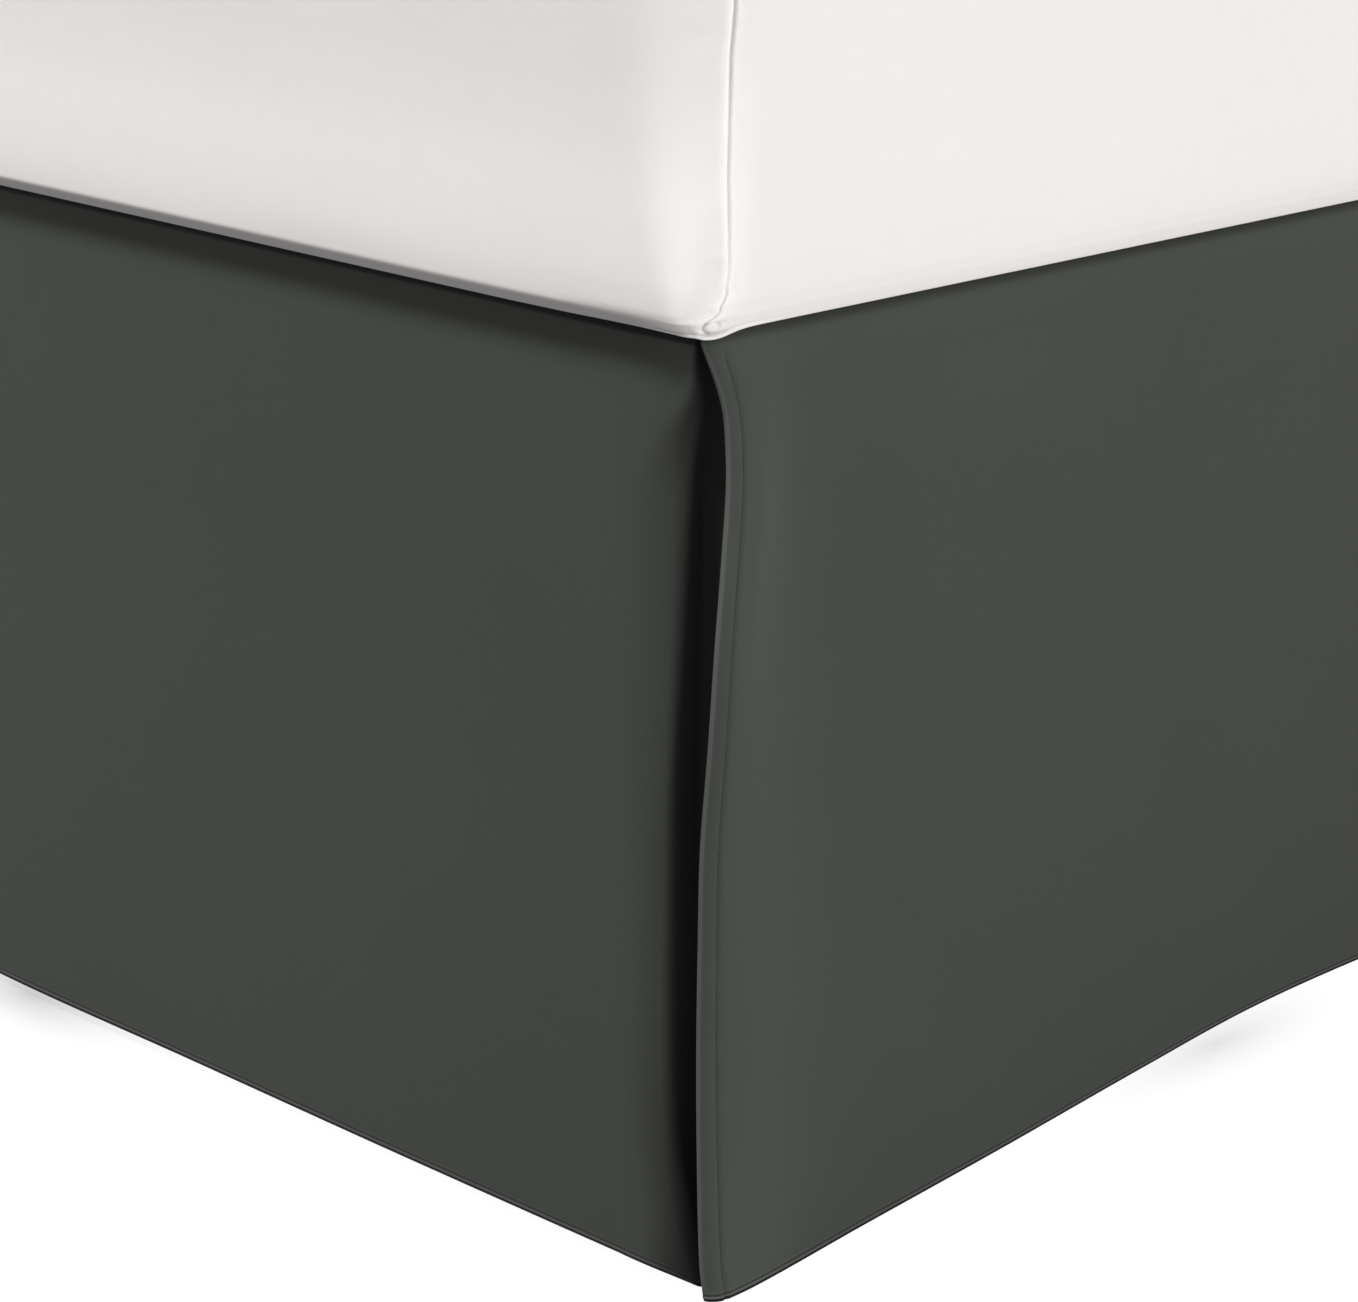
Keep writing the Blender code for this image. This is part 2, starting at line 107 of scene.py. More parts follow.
# Hem of a drop, out from the deck's edge, by the distance along that edge from the corner
# where the foot meets the right-hand side.
FOOT_HEM = make_table(
    "along  out",
    (0.000, -0.0097), (0.090, -0.0049), (0.190, 0.0000),  (0.310, 0.0050),
    (0.440, 0.0108),  (0.560, 0.0098),  (0.700, 0.0036),  (0.840, 0.0022),
    (0.980, 0.0088),  (1.110, 0.0094),  (1.250, 0.0010),  (1.390, -0.0058),
    (1.524, -0.0090),
)
RIGHT_HEM = make_table(
    "along  out",
    (0.000, 0.0076),  (0.027, 0.0086),  (0.093, 0.0049),  (0.189, 0.0000),
    (0.297, -0.0067), (0.385, -0.0110), (0.470, -0.0086), (0.600, 0.0012),
    (0.740, 0.0088),  (0.890, 0.0060),  (1.060, -0.0042), (1.230, 0.0006),
    (1.400, 0.0094),  (1.570, 0.0052),  (1.740, -0.0030), (1.900, 0.0028),
    (2.032, 0.0074),
)
LEFT_HEM = make_table(
    "along  out",
    (0.000, 0.0070),  (0.060, 0.0082),  (0.170, 0.0012),  (0.300, -0.0072),
    (0.430, -0.0044), (0.580, 0.0062),  (0.740, 0.0090),  (0.900, 0.0012),
    (1.060, -0.0064), (1.220, -0.0014), (1.390, 0.0078),  (1.560, 0.0084),
    (1.730, 0.0004),  (1.890, -0.0020), (2.032, 0.0046),
)
# Foot end of a side drop, by height over the hem: how far up the side from the corner its edge
# hangs, and how far its narrow hem curls in.
FLAP = make_table(
    "up     along    curl",
    (0.000, 0.0025,  0.0062),
    (0.017, 0.0004,  0.0058),
    (0.064, -0.0009, 0.0045),
    (0.106, -0.0012, 0.0036),
    (0.147, -0.0006, 0.0029),
    (0.187, 0.0005,  0.0025),
    (0.225, 0.0043,  0.0022),
    (0.263, 0.0074,  0.0019),
    (0.297, 0.0105,  0.0017),
    (0.326, 0.0124,  0.0016),
    (0.349, 0.0105,  0.0012),
    (0.358, 0.0078,  0.0011),
    (0.367, 0.0041,  0.0019),
    (0.375, 0.0010,  0.0043),
    (0.381, -0.0006, 0.0063),
)
FLAP_BLEND = 0.060          # over which the side drop's edge pulls its cloth along
CURL_WIDTH = 0.009
CURL_FULL = 0.93            # share of a quarter round that the curl reaches
# End of the foot drop, by height over the hem.  Seen from above it leans in from the foot's
# plane over LEAN_LENGTH, rolls inward at "start" from the corner and "back" from its plane,
# goes "deep" into the bed on the heading "turn", bends back to the heading "ahead", and rounds
# to run up the side, "inset" from the side's plane.  A heading is in degrees: 0 runs along the
# foot to the corner, 90 into the bed.
TUCK = make_table(
    "up     start   back    lean  roll    turn   deep    ahead  round   inset",
    (0.000, 0.0090, 0.0006, 4.0,  0.0052, 50.0,  0.0006, 42.0,  0.0052, 0.0000),
    (0.025, 0.0188, 0.0012, 7.0,  0.0065, 82.0,  0.0040, 26.0,  0.0060, 0.0000),
    (0.064, 0.0252, 0.0018, 13.0, 0.0060, 98.0,  0.0090, 4.0,   0.0050, 0.0010),
    (0.187, 0.0247, 0.0032, 18.0, 0.0055, 100.0, 0.0095, 4.0,   0.0050, 0.0040),
    (0.255, 0.0236, 0.0046, 20.0, 0.0050, 100.0, 0.0095, 4.0,   0.0050, 0.0040),
    (0.326, 0.0228, 0.0056, 20.0, 0.0046, 100.0, 0.0090, 4.0,   0.0050, 0.0040),
    (0.352, 0.0175, 0.0038, 11.0, 0.0060, 85.0,  0.0040, 25.0,  0.0060, 0.0030),
    (0.372, 0.0122, 0.0022, 1.0,  0.0078, 48.0,  0.0008, 40.0,  0.0078, 0.0022),
)
TUCK_BEND = 0.0035
TUCK_TOTAL = 0.096          # cloth from the start of the lean to the free edge
LEAN_LENGTH = 0.048         # from the corner

# ---- steps of the fine meshes ----
CURL_STEPS = 7
ROW_STEP = 0.0048           # between the rows of a drop
HEM_FACE_LOW = 0.0062       # down to here the rows of the hem are even
HEM_FACE_STEPS = 8
EDGE_STEP = 0.0005          # between columns at a free edge, growing away from it
STEP_GROWTH = 1.16
FACE_STEP = 0.0062          # between columns in the middle of a drop
# Faces along each stretch of the tuck, from the foot's plane to the free edge.
LEAN_STEPS, ROLL_STEPS, DEEP_STEPS, BEND_STEPS = 20, 14, 4, 10
ACROSS_STEPS, ROUND_OFF_STEPS, FREE_STEPS = 6, 8, 7

# Creases of the drops, each a soft trough (deep > 0) or ridge between two places: the distance
# along the drop from the right-hand foot corner, and the height over the hem.
FOOT_CREASES = make_table(
    "from            to              wide   deep",
    ((0.330, 0.372), (0.318, 0.180), 0.016, 0.0003),
)
SIDE_CREASES = make_table(
    "from             to               wide    deep",
    ((0.0225, 0.350), (0.0190, 0.235), 0.0050, -0.0006),
    ((0.0160, 0.356), (0.0140, 0.250), 0.0028, 0.0005),
    ((0.0300, 0.340), (0.0300, 0.200), 0.0080, 0.0004),
    ((0.0050, 0.374), (0.0130, 0.366), 0.0016, 0.0005),
    ((0.0090, 0.377), (0.0240, 0.372), 0.0020, 0.0005),
    ((0.0080, 0.366), (0.0110, 0.340), 0.0018, 0.0004),
)
CREASE_ENDS = 0.35          # share of a crease over which each of its ends fades

# Painted light and shade on the side drop round its foot end, over the cloth's own colour: soft
# lighter and darker patches at a distance along the drop and a height over the hem, each with its
# half width and half height.
SIDE_PAINTED_LIGHT = make_table(
    "at               size             gain",
    ((0.026, 0.300),  (0.018, 0.085),  0.20),
    ((0.036, 0.150),  (0.030, 0.160),  0.10),
    ((0.004, 0.215),  (0.0065, 0.070), -0.10),
    ((0.0015, 0.295), (0.0030, 0.050), 0.20),
    ((0.020, 0.010),  (0.0300, 0.055), 0.14),
    ((0.150, 0.345),  (0.120, 0.025),  0.05),
)
# Where a drop comes out from under the mattress, painted shade darkens it in a line, and on the
# foot drop painted light makes it lighter just below that: how light it is there, by the distance
# down from the seam.
FOOT_SEAM_PAINTED_LIGHT = make_table(
    "down    tone",
    (0.0000, 0.42), (0.0050, 0.42), (0.0062, 1.22), (0.0085, 1.20),
    (0.0130, 1.08), (0.0200, 1.00),
)
SIDE_SEAM_PAINTED_SHADE = make_table(
    "down    tone",
    (0.0000, 0.60), (0.0022, 0.60), (0.0050, 1.00), (0.0200, 1.00),
)
# Bottom edge of a drop, by height over the hem: how light it is, with painted shade along its
# underside and in a groove over it and painted highlights on its rolled edge, and how far it
# stands out.
EDGE_ROLL = make_table(
    "up      tone  out",
    (0.0007, 0.08, 0.00000),
    (0.0012, 0.10, 0.00004),
    (0.0016, 0.50, 0.00018),
    (0.0019, 1.55, 0.00030),
    (0.0023, 1.45, 0.00012),
    (0.0027, 0.55, -0.00020),
    (0.0031, 0.50, -0.00018),
    (0.0036, 1.12, 0.00004),
    (0.0042, 1.12, 0.00006),
    (0.0049, 0.95, 0.00000),
    (0.0056, 1.00, 0.00000),
)
# Painted highlight and shade along the upright free edge of a side drop, by the distance from it.
FREE_EDGE_PAINTED_LIGHT = make_table(
    "off     tone",
    (0.0010, 1.38), (0.0013, 1.00), (0.0024, 0.90), (0.0045, 0.95),
    (0.0060, 1.00),
)
# Foot drop by height over the hem: how much painted shade darkens it where it turns in behind the
# flap, and the distances from the corner between which that happens.
TUCK_PAINTED_SHADE = make_table(
    "up     dark  near    far",
    (0.000, 0.94, 0.0080, 0.0400),
    (0.030, 0.88, 0.0080, 0.0380),
    (0.070, 0.42, 0.0120, 0.0460),
    (0.120, 0.20, 0.0160, 0.0460),
    (0.315, 0.34, 0.0180, 0.0440),
    (0.341, 0.60, 0.0150, 0.0300),
    (0.358, 0.78, 0.0103, 0.0150),
    (0.369, 0.88, 0.0084, 0.0118),
    (0.376, 0.90, 0.0082, 0.0102),
)


# ---- curves and relief ----
def smooth(t):
    """0 to 1 with level ends."""
    t = np.clip(t, 0.0, 1.0)
    return t * t * (3.0 - 2.0 * t)


def bell(x):
    return np.exp(-x * x)


def hump(x, shape):
    """1 in the middle of a bump or trough, and less on both sides of it."""
    return bell((x - shape["at"]) / shape["wide"])


def cubic(t, start, leave, end, arrive):
    """Curve from start to end while t goes from 0 to 1, with its slopes at both."""
    first = (1 + 2 * t) * (1 - t) ** 2 * start + t * (1 - t) ** 2 * leave
    return first + t * t * (3 - 2 * t) * end + t * t * (t - 1) * arrive


def read(table, column, value):
    """Smooth curve through a column of a table, over its first column, which rises."""
    first = next(iter(table[0]))
    keys, values = (np.array([row[name] for row in table]) for name in (first, column))
    value = np.clip(value, keys[0], keys[-1])
    i = np.clip(np.searchsorted(keys, value, side="right") - 1, 0, len(keys) - 2)
    before = np.maximum(np.arange(len(keys)) - 1, 0)
    after = np.minimum(np.arange(len(keys)) + 1, len(keys) - 1)
    slopes = (values[after] - values[before]) / (keys[after] - keys[before])
    span = keys[i + 1] - keys[i]
    t = (value - keys[i]) / span
    return cubic(t, values[i], span * slopes[i], values[i + 1], span * slopes[i + 1])


def swing(table, along, up):
    """How far a drop stands out of its plane: nothing at the seam, all of it at the hem."""
    depth = np.maximum(0.0, 1.0 - up / BEND_UP)
    return read(table, "out", along) * depth ** 2


def crease_depth(creases, along, up):
    """How deep the creases lie at each place, with soft ends and sides."""
    total = np.zeros(np.broadcast(along, up).shape)
    for crease in creases:
        (a0, u0), (a1, u1) = crease["from"], crease["to"]
        length = math.hypot(a1 - a0, u1 - u0)
        ahead = ((a1 - a0) / length, (u1 - u0) / length)
        run = ((along - a0) * ahead[0] + (up - u0) * ahead[1]) / length
        off = ((along - a0) * ahead[1] - (up - u0) * ahead[0]) / crease["wide"]
        ends = smooth(run / CREASE_ENDS) * smooth((1.0 - run) / CREASE_ENDS)
        total += crease["deep"] * ends * bell(off)
    return total


def patches(table, along, up):
    """Sum of soft patches."""
    total = np.zeros(np.broadcast(along, up).shape)
    for patch in table:
        off = ((along - patch["at"][0]) / patch["size"][0],
               (up - patch["at"][1]) / patch["size"][1])
        total += patch["gain"] * bell(off[0]) * bell(off[1])
    return total


def painted_edge_light(seam_painted_light, up):
    """Painted shade and light on a drop along its seam and its bottom edge."""
    return read(seam_painted_light, "tone", DROP - up) * read(EDGE_ROLL, "tone", up)


def spread(length, first, widest, start):
    """Distances from start to length, close at first and then evenly wide."""
    marks, step = [start], first
    while marks[-1] + step < length:
        marks.append(marks[-1] + step)
        step = min(step * STEP_GROWTH, widest)
    if length - marks[-1] < step / 2:
        marks.pop()
    return marks + [length]


# ---- meshes ----
def unit(vectors):
    return vectors / np.maximum(np.linalg.norm(vectors, axis=-1, keepdims=True), 1e-12)


def outward(grid):
    """Normals of a grid of points whose rows run left to right, top row first."""
    return unit(np.cross(np.gradient(grid, axis=0), np.gradient(grid, axis=1)))


def wall(index):
    """Faces between rings of points, lowest ring first, given by the points' numbers."""
    ahead = np.roll(index, -1, axis=1)
    faces = np.stack([index[:-1], ahead[:-1], ahead[1:], index[1:]], axis=-1)
    return faces.reshape(-1, 4).tolist()


def new_piece(name, points, faces, material, fine=None, tone=None):
    """A smooth mesh object; fine is where each point lies on the flat cloth, in metres, and
    tone how light its colour is there."""
    mesh = bpy.data.meshes.new(name)
    mesh.from_pydata([tuple(p) for p in points], [], faces)
    mesh.materials.append(material)
    mesh.shade_smooth()
    if fine is not None:
        lay = mesh.attributes.new("lay", "FLOAT_VECTOR", "POINT")
        lay.data.foreach_set("vector", np.asarray(fine, dtype=float).ravel())
        shade = mesh.attributes.new("tone", "FLOAT", "POINT")
        shade.data.foreach_set("value", np.ones(len(points)) if tone is None else tone)
    mesh.validate()
    piece = bpy.data.objects.new(name, mesh)
    bpy.context.scene.collection.objects.link(piece)
    return piece


def cloth_piece(name, grid, thick, places, tone, material):
    """Closed sheet: grid is its outer surface, thick its thickness, places where each point
    lies on the flat cloth and tone how light it is.  Its edges are rounded."""
    rows, columns = grid.shape[:2]
    count = rows * columns
    normal = outward(grid)
    back = grid - normal * thick[..., None]
    points = [grid.reshape(-1, 3), back.reshape(-1, 3)]
    fine = [places.reshape(-1, 3)] * 2
    tones = [tone.ravel()] * 2
    index = np.arange(count).reshape(rows, columns)
    front = np.stack([index[:-1, :-1], index[1:, :-1], index[1:, 1:], index[:-1, 1:]], axis=-1)
    front = front.reshape(-1, 4)
    faces = [front, front[:, [0, 3, 2, 1]] + count]

    # The border, anticlockwise as seen from outside, and the way out of the sheet along it.
    border = [(r, 0) for r in range(rows)] + [(rows - 1, c) for c in range(1, columns)]
    border += [(r, columns - 1) for r in range(rows - 2, -1, -1)]
    border += [(0, c) for c in range(columns - 2, 0, -1)]
    r, c = np.array(border).T
    aside = (c == columns - 1) * 1.0 - (c == 0)
    below = (r == rows - 1) * 1.0 - (r == 0)
    along, down = unit(np.gradient(grid, axis=1)), unit(np.gradient(grid, axis=0))
    out = unit(along[r, c] * aside[:, None] + down[r, c] * below[:, None])

    half = thick[r, c][:, None] / 2
    middle = grid[r, c] - normal[r, c] * half
    loops = [index[r, c]]
    for n in range(1, 2 * RIM_STEPS):
        angle = math.pi * n / (2 * RIM_STEPS)
        loops.append(2 * count + (n - 1) * len(border) + np.arange(len(border)))
        points.append(middle + half * (normal[r, c] * math.cos(angle) + out * math.sin(angle)))
        fine.append(places[r, c])
        tones.append(tone[r, c])
    loops.append(index[r, c] + count)
    for outer, inner in zip(loops, loops[1:]):
        faces.append(np.stack([outer, inner, np.roll(inner, -1), np.roll(outer, -1)], axis=1))
    return new_piece(name, np.concatenate(points), np.concatenate(faces).tolist(), material,
                     np.concatenate(fine), np.concatenate(tones))


def lay_out(grid, up):
    """Where each point of a drop lies on its flat cloth: metres along it and up it."""
    steps = np.linalg.norm(np.diff(grid[len(grid) // 2], axis=0), axis=1)
    places = np.zeros(grid.shape)
    places[..., 0] = np.concatenate([[0.0], np.cumsum(steps)])
    places[..., 1] = up[:, None]
    return places


# ---- drops ----
def levels():
    """Each level of a drop, top first: its angle in the curl over the edge, height over the hem."""
    curled = [(a, BEND_UP + EDGE_CURL * math.sin(a))
              for a in np.linspace(math.pi / 2, 0.0, CURL_STEPS + 1)]
    end = HEM_DEPTH + LAYER_STEP
    straight_steps = round((BEND_UP - end) / ROW_STEP)
    ups = list(np.linspace(BEND_UP, end, straight_steps + 1))[1:]
    ups += list(np.linspace(HEM_DEPTH, HEM_FACE_LOW, HEM_FACE_STEPS + 1))
    ups += [row["up"] for row in EDGE_ROLL[::-1]]
    return curled + [(0.0, up) for up in ups]


def placed(x, y, inward_x, inward_y, radius, angle, up):
    """Points of a drop in one level, turned over the edge by the curl; x and y are their place in
    plan from the right-hand foot corner."""
    shift = radius * (1.0 - math.cos(angle))
    z = HEM_LIFT + (BEND_UP + radius * math.sin(angle) if angle else up)
    points = np.broadcast_arrays(x + inward_x * shift, y + inward_y * shift, z)
    return np.stack(points, axis=-1) + FOOT_CORNER


def pressed(grid, dip):
    """A grid of points moved into the cloth by a depth at each of them."""
    return grid - outward(grid) * dip[..., None]


def flap_curl(distance, up):
    """How far the side drop turns in near its free edge, on a round the width of its hem."""
    reach = np.maximum(0.0, 1.0 - distance / CURL_WIDTH)
    share = (1 - np.sqrt(1 - (CURL_FULL * reach) ** 2)) / (1 - math.sqrt(1 - CURL_FULL ** 2))
    return read(FLAP, "curl", up) * share


def side_grid(hem):
    """Outer surface of the right-hand side drop, before its creases: its points, the distance of
    each column from the foot corner and the height of each row over the hem."""
    distance = np.array(spread(BED_LENGTH - HEM_THICK / 2, EDGE_STEP, FACE_STEP, HEM_THICK / 2))
    rows, ups = [], []
    for angle, up in levels():
        edge = read(FLAP, "along", up)
        y = distance + edge * (1.0 - smooth(distance / FLAP_BLEND))
        x = swing(hem, y, up) - flap_curl(distance, up)
        # The curl goes round the corner of the bed with the deck's edge.
        sine = np.clip((CORNER_RADIUS - y) / CORNER_RADIUS, 0.0, 1.0) if angle else 0.0
        rows.append(placed(x, y, -np.sqrt(1.0 - sine * sine), sine, EDGE_CURL, angle, up))
        ups.append(up)
    return np.array(rows), distance, np.array(ups)


def side_thickness(along, up):
    """Two layers where the cloth is turned in, at the hem and down both upright edges."""
    turned = np.maximum(smooth((HEM_DEPTH + LAYER_STEP - up) / LAYER_STEP),
                        smooth((NARROW_LAYER - along) / LAYER_STEP))
    turned = np.maximum(turned, smooth((along - BED_LENGTH + NARROW_HEM) / LAYER_STEP))
    return CLOTH_THICK + (HEM_THICK - CLOTH_THICK) * turned


def painted_side_light(along, up, hanging):
    """Painted light and shade on a side drop, over its own colour."""
    # Painted shade along the groove of the stitch line.
    line = STITCH_PAINTED_SHADE["dark"] * hump(along, STITCH_PAINTED_SHADE) * hanging
    # Painted light and shade patches, and painted shade along the seam and the bottom edge.
    tone = (1.0 + patches(SIDE_PAINTED_LIGHT, along, up) - line) * painted_edge_light(SIDE_SEAM_PAINTED_SHADE, up)
    # Painted highlight along the free edges, above the bottom edge.
    free = read(FREE_EDGE_PAINTED_LIGHT, "tone", np.minimum(along, BED_LENGTH - along))
    return tone * np.where(up > EDGE_ROLL[-1]["up"], free, 1.0)


def side_drop(name, hem, mirrored, creases, material):
    """The drop down one side and its threads, made as the right-hand ones."""
    grid, distance, ups = side_grid(hem)
    along, up = np.broadcast_arrays(distance[None, :], ups[:, None])
    hanging = smooth((BEND_UP + STITCH_FADE / 2 - up) / STITCH_FADE)
    dip = crease_depth(creases, along, up) - read(EDGE_ROLL, "out", up)
    dip = dip + STITCH_GROOVE["deep"] * hump(along, STITCH_GROOVE) * hanging
    grid = pressed(grid, dip)
    sheet = [grid, side_thickness(along, up), lay_out(grid, ups), painted_side_light(along, up, hanging)]
    lines = [thread_line(grid, ups, distance, at)
             for at in (NARROW_HEM, BED_LENGTH - NARROW_HEM)]
    if mirrored:
        sheet = [part[:, ::-1] for part in sheet]
        sheet[0] = sheet[0] * MIRROR
        lines = [(line * MIRROR, out * MIRROR) for line, out in lines]
    threads = stitches(f"{name}_stitches", lines, material)
    return cloth_piece(name, *sheet, material), threads


def thread_line(grid, ups, distance, at):
    """Points down the line of stitches of a narrow hem, with the way out of the cloth there."""
    column = int(np.argmin(np.abs(distance - at)))
    order = np.flatnonzero((ups > STITCH_LOW) & (ups < BEND_UP))[::-1]
    down = np.arange(STITCH_HIGH, STITCH_LOW, -STITCH_APART / THREAD_STEPS)
    line, out = (np.column_stack([np.interp(down, ups[order], values[order, column, k])
                                  for k in range(3)]) for values in (grid, outward(grid)))
    return line, unit(out)


def stitches(name, lines, material):
    """Short rounded threads along the lines, each over three of its steps and under one."""
    points, faces = [], []
    turns = np.radians(np.arange(0, 360, 360 // THREAD_SIDES))[:, None]
    for line, out in lines:
        for first in range(0, len(line) - 3, THREAD_STEPS):
            part, away = line[first:first + 4], out[first:first + 4]
            across = unit(np.cross(away, unit(part[-1] - part[0])))
            base = len(points)
            for n, size in enumerate(THREAD_SIZES):
                centre = part[n] + away[n] * STITCH_THREAD * (THREAD_ARCH * size - THREAD_SUNK)
                round_it = away[n] * np.cos(turns) + across[n] * np.sin(turns)
                points += list(centre + STITCH_THREAD * size * round_it)
            rings = base + np.arange(4 * THREAD_SIDES).reshape(4, THREAD_SIDES)
            faces += wall(rings) + [rings[0][::-1].tolist(), rings[-1].tolist()]
    return new_piece(name, points, faces, material, points, np.full(len(points), THREAD_TONE))


# ---- the foot drop and its tucked ends ----
def headed(degrees):
    turn = math.radians(degrees)
    return np.array((math.cos(turn), math.sin(turn)))


def arc(path, radius, end, steps):
    """Adds to a path of (point, heading) a round that turns to a heading."""
    point, start = path[-1]
    side = 1.0 if end > start else -1.0
    centre = point + headed(start + 90.0) * side * radius
    for n in range(1, steps + 1):
        heading = start + (end - start) * n / steps
        path.append((centre - headed(heading + 90.0) * side * radius, heading))


def straight(path, length, steps):
    """Adds to a path of (point, heading) a straight run on its last heading."""
    point, heading = path[-1]
    for n in range(1, steps + 1):
        path.append((point + headed(heading) * length * n / steps, heading))


def tuck_path(along, up):
    """The end of the foot drop in plan, from the start of its lean to its free edge: points and
    headings.  x is along the foot, negative before the corner, and y is into the bed.  The
    function along turns a distance from this corner into one from the right-hand corner."""
    size = {name: float(read(TUCK, name, up)) for name in TUCK[0] if name != "up"}
    first = np.array((-LEAN_LENGTH, -swing(FOOT_HEM, along(LEAN_LENGTH), up)))
    start = size["start"]
    fold = np.array((-start, size["back"] - swing(FOOT_HEM, along(start), up)))
    reach = np.linalg.norm(fold - first)
    leave, arrive = np.array((reach, 0.0)), headed(size["lean"]) * reach
    path = [(first, 0.0)]
    for t in np.arange(1, LEAN_STEPS + 1) / LEAN_STEPS:
        path.append((cubic(t, first, leave, fold, arrive), size["lean"] * t * t))
    arc(path, size["roll"], size["turn"], ROLL_STEPS)
    straight(path, size["deep"], DEEP_STEPS)
    arc(path, TUCK_BEND, size["ahead"], BEND_STEPS)
    rounding = size["round"] * (1.0 - headed(size["ahead"])[1])
    across = (-size["inset"] - path[-1][0][0] - rounding) / headed(size["ahead"])[0]
    straight(path, across, ACROSS_STEPS)
    arc(path, size["round"], 90.0, ROUND_OFF_STEPS)
    used = sum(np.linalg.norm(b[0] - a[0]) for a, b in zip(path, path[1:]))
    straight(path, TUCK_TOTAL - used - CLOTH_THICK / 2, FREE_STEPS)
    return path


def foot_half(along, angle, up, side):
    """Points of half of the foot drop in one level, from its free edge to the middle."""
    back = read(TUCK, "back", BEND_UP)
    path = tuck_path(along, up)[::-1]
    plan = np.array([point for point, heading in path])
    into = np.array([headed(heading + 90.0) for point, heading in path])
    share = 1.0 - smooth((-plan[:, 0] - CORNER_RADIUS) / (LEAN_LENGTH - CORNER_RADIUS))
    steps = round((HALF_WIDTH - LEAN_LENGTH) / FACE_STEP)
    s = np.linspace(LEAN_LENGTH, HALF_WIDTH, steps + 1)[1:]
    plan = np.concatenate([plan, np.stack([-s, -swing(FOOT_HEM, along(s), up)], axis=1)])
    into = np.concatenate([into, np.tile((0.0, 1.0), (steps, 1))])
    share = np.concatenate([share, np.zeros(steps)])
    radius = EDGE_CURL - back * share
    return placed(*plan.T, *into.T, radius, angle, up) * (side, 1.0, 1.0)


def foot_drop(name, creases, material):
    rows, ups = [], []
    for angle, up in levels():
        left = foot_half(lambda s: BED_WIDTH - s, angle, up, -1)
        right = foot_half(lambda s: s, angle, up, 1)
        rows.append(np.concatenate([left, right[-2::-1]]))
        ups.append(up)
    grid, ups = np.array(rows), np.array(ups)
    along = HALF_WIDTH - grid[..., 0]
    up = np.broadcast_to(ups[:, None], along.shape)
    grid = pressed(grid, crease_depth(creases, along, up) - read(EDGE_ROLL, "out", up))
    turned = smooth((HEM_DEPTH + LAYER_STEP - up) / LAYER_STEP)
    thick = CLOTH_THICK + (HEM_THICK - CLOTH_THICK) * turned
    # Painted shade where the foot drop turns in behind the flap, and along its seam and bottom
    # edge.
    dark, near, far = (read(TUCK_PAINTED_SHADE, key, up) for key in ("dark", "near", "far"))
    corner = np.minimum(along, BED_WIDTH - along)
    tone = 1.0 - dark * (1.0 - smooth((corner - near) / (far - near)))
    tone = tone * painted_edge_light(FOOT_SEAM_PAINTED_LIGHT, up)
    return cloth_piece(name, grid, thick, lay_out(grid, ups), tone, material)


# ---- solids stacked from rounded outlines ----
def all_corners(corner):
    """The corners of a ring, anticlockwise, from the points of the right-hand foot one."""
    flipped = (corner * (1.0, -1.0))[::-1]
    return [corner, flipped, -corner, -flipped]


def between(last, following, steps):
    """Points that part the way between two others into even steps."""
    return last + (following - last) * (np.arange(1, steps)[:, None] / steps)


def ring_plan(half_x, half_y, radius, corner_steps, *edge_steps):
    """Rounded rectangle, anticlockwise from above; edge_steps are of a long edge and a short
    one."""
    turns = np.radians(np.linspace(-90.0, 0.0, corner_steps + 1))
    corners = all_corners(np.column_stack([half_x - radius + radius * np.cos(turns),
                                           radius - half_y + radius * np.sin(turns)]))
    ring = []
    for n, these in enumerate(corners):
        ring += [these, between(these[-1], corners[(n + 1) % 4][0], edge_steps[n % 2])]
    return np.concatenate(ring)


def level_ring(plan, z):
    """A plan of points laid at one height, or each at its own."""
    return np.column_stack([plan, np.broadcast_to(z, len(plan))])


def closed_stack(name, rings, material, tones=None):
    """Closed solid through rings of equal count, lowest first, capped at both ends."""
    rings = np.array(rings)
    count = rings.shape[1]
    index = np.arange(len(rings) * count).reshape(len(rings), count)
    faces = wall(index)
    points = np.concatenate([rings.reshape(-1, 3), rings[[0, -1]].mean(axis=1)])
    bottom, top = index.size, index.size + 1
    for i, j in zip(index[0].tolist(), np.roll(index[0], -1).tolist()):
        faces += [(j, i, bottom), (i + index.size - count, j + index.size - count, top)]
    tone = None
    if tones is not None:
        tones = np.array(tones)
        tone = np.concatenate([tones.ravel(), [tones[0].mean(), tones[-1].mean()]])
    return new_piece(name, points, faces, material, points, tone)


# ---- mattress ----
MATTRESS_LOW, MATTRESS_HIGH = (Vector(corner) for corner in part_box("mattress"))
MATTRESS_CROWN = 0.008
MATTRESS_HEIGHT = MATTRESS_HIGH.z - MATTRESS_LOW.z - MATTRESS_CROWN
MATTRESS_END = 0.011        # each end stands out this much further than the sides
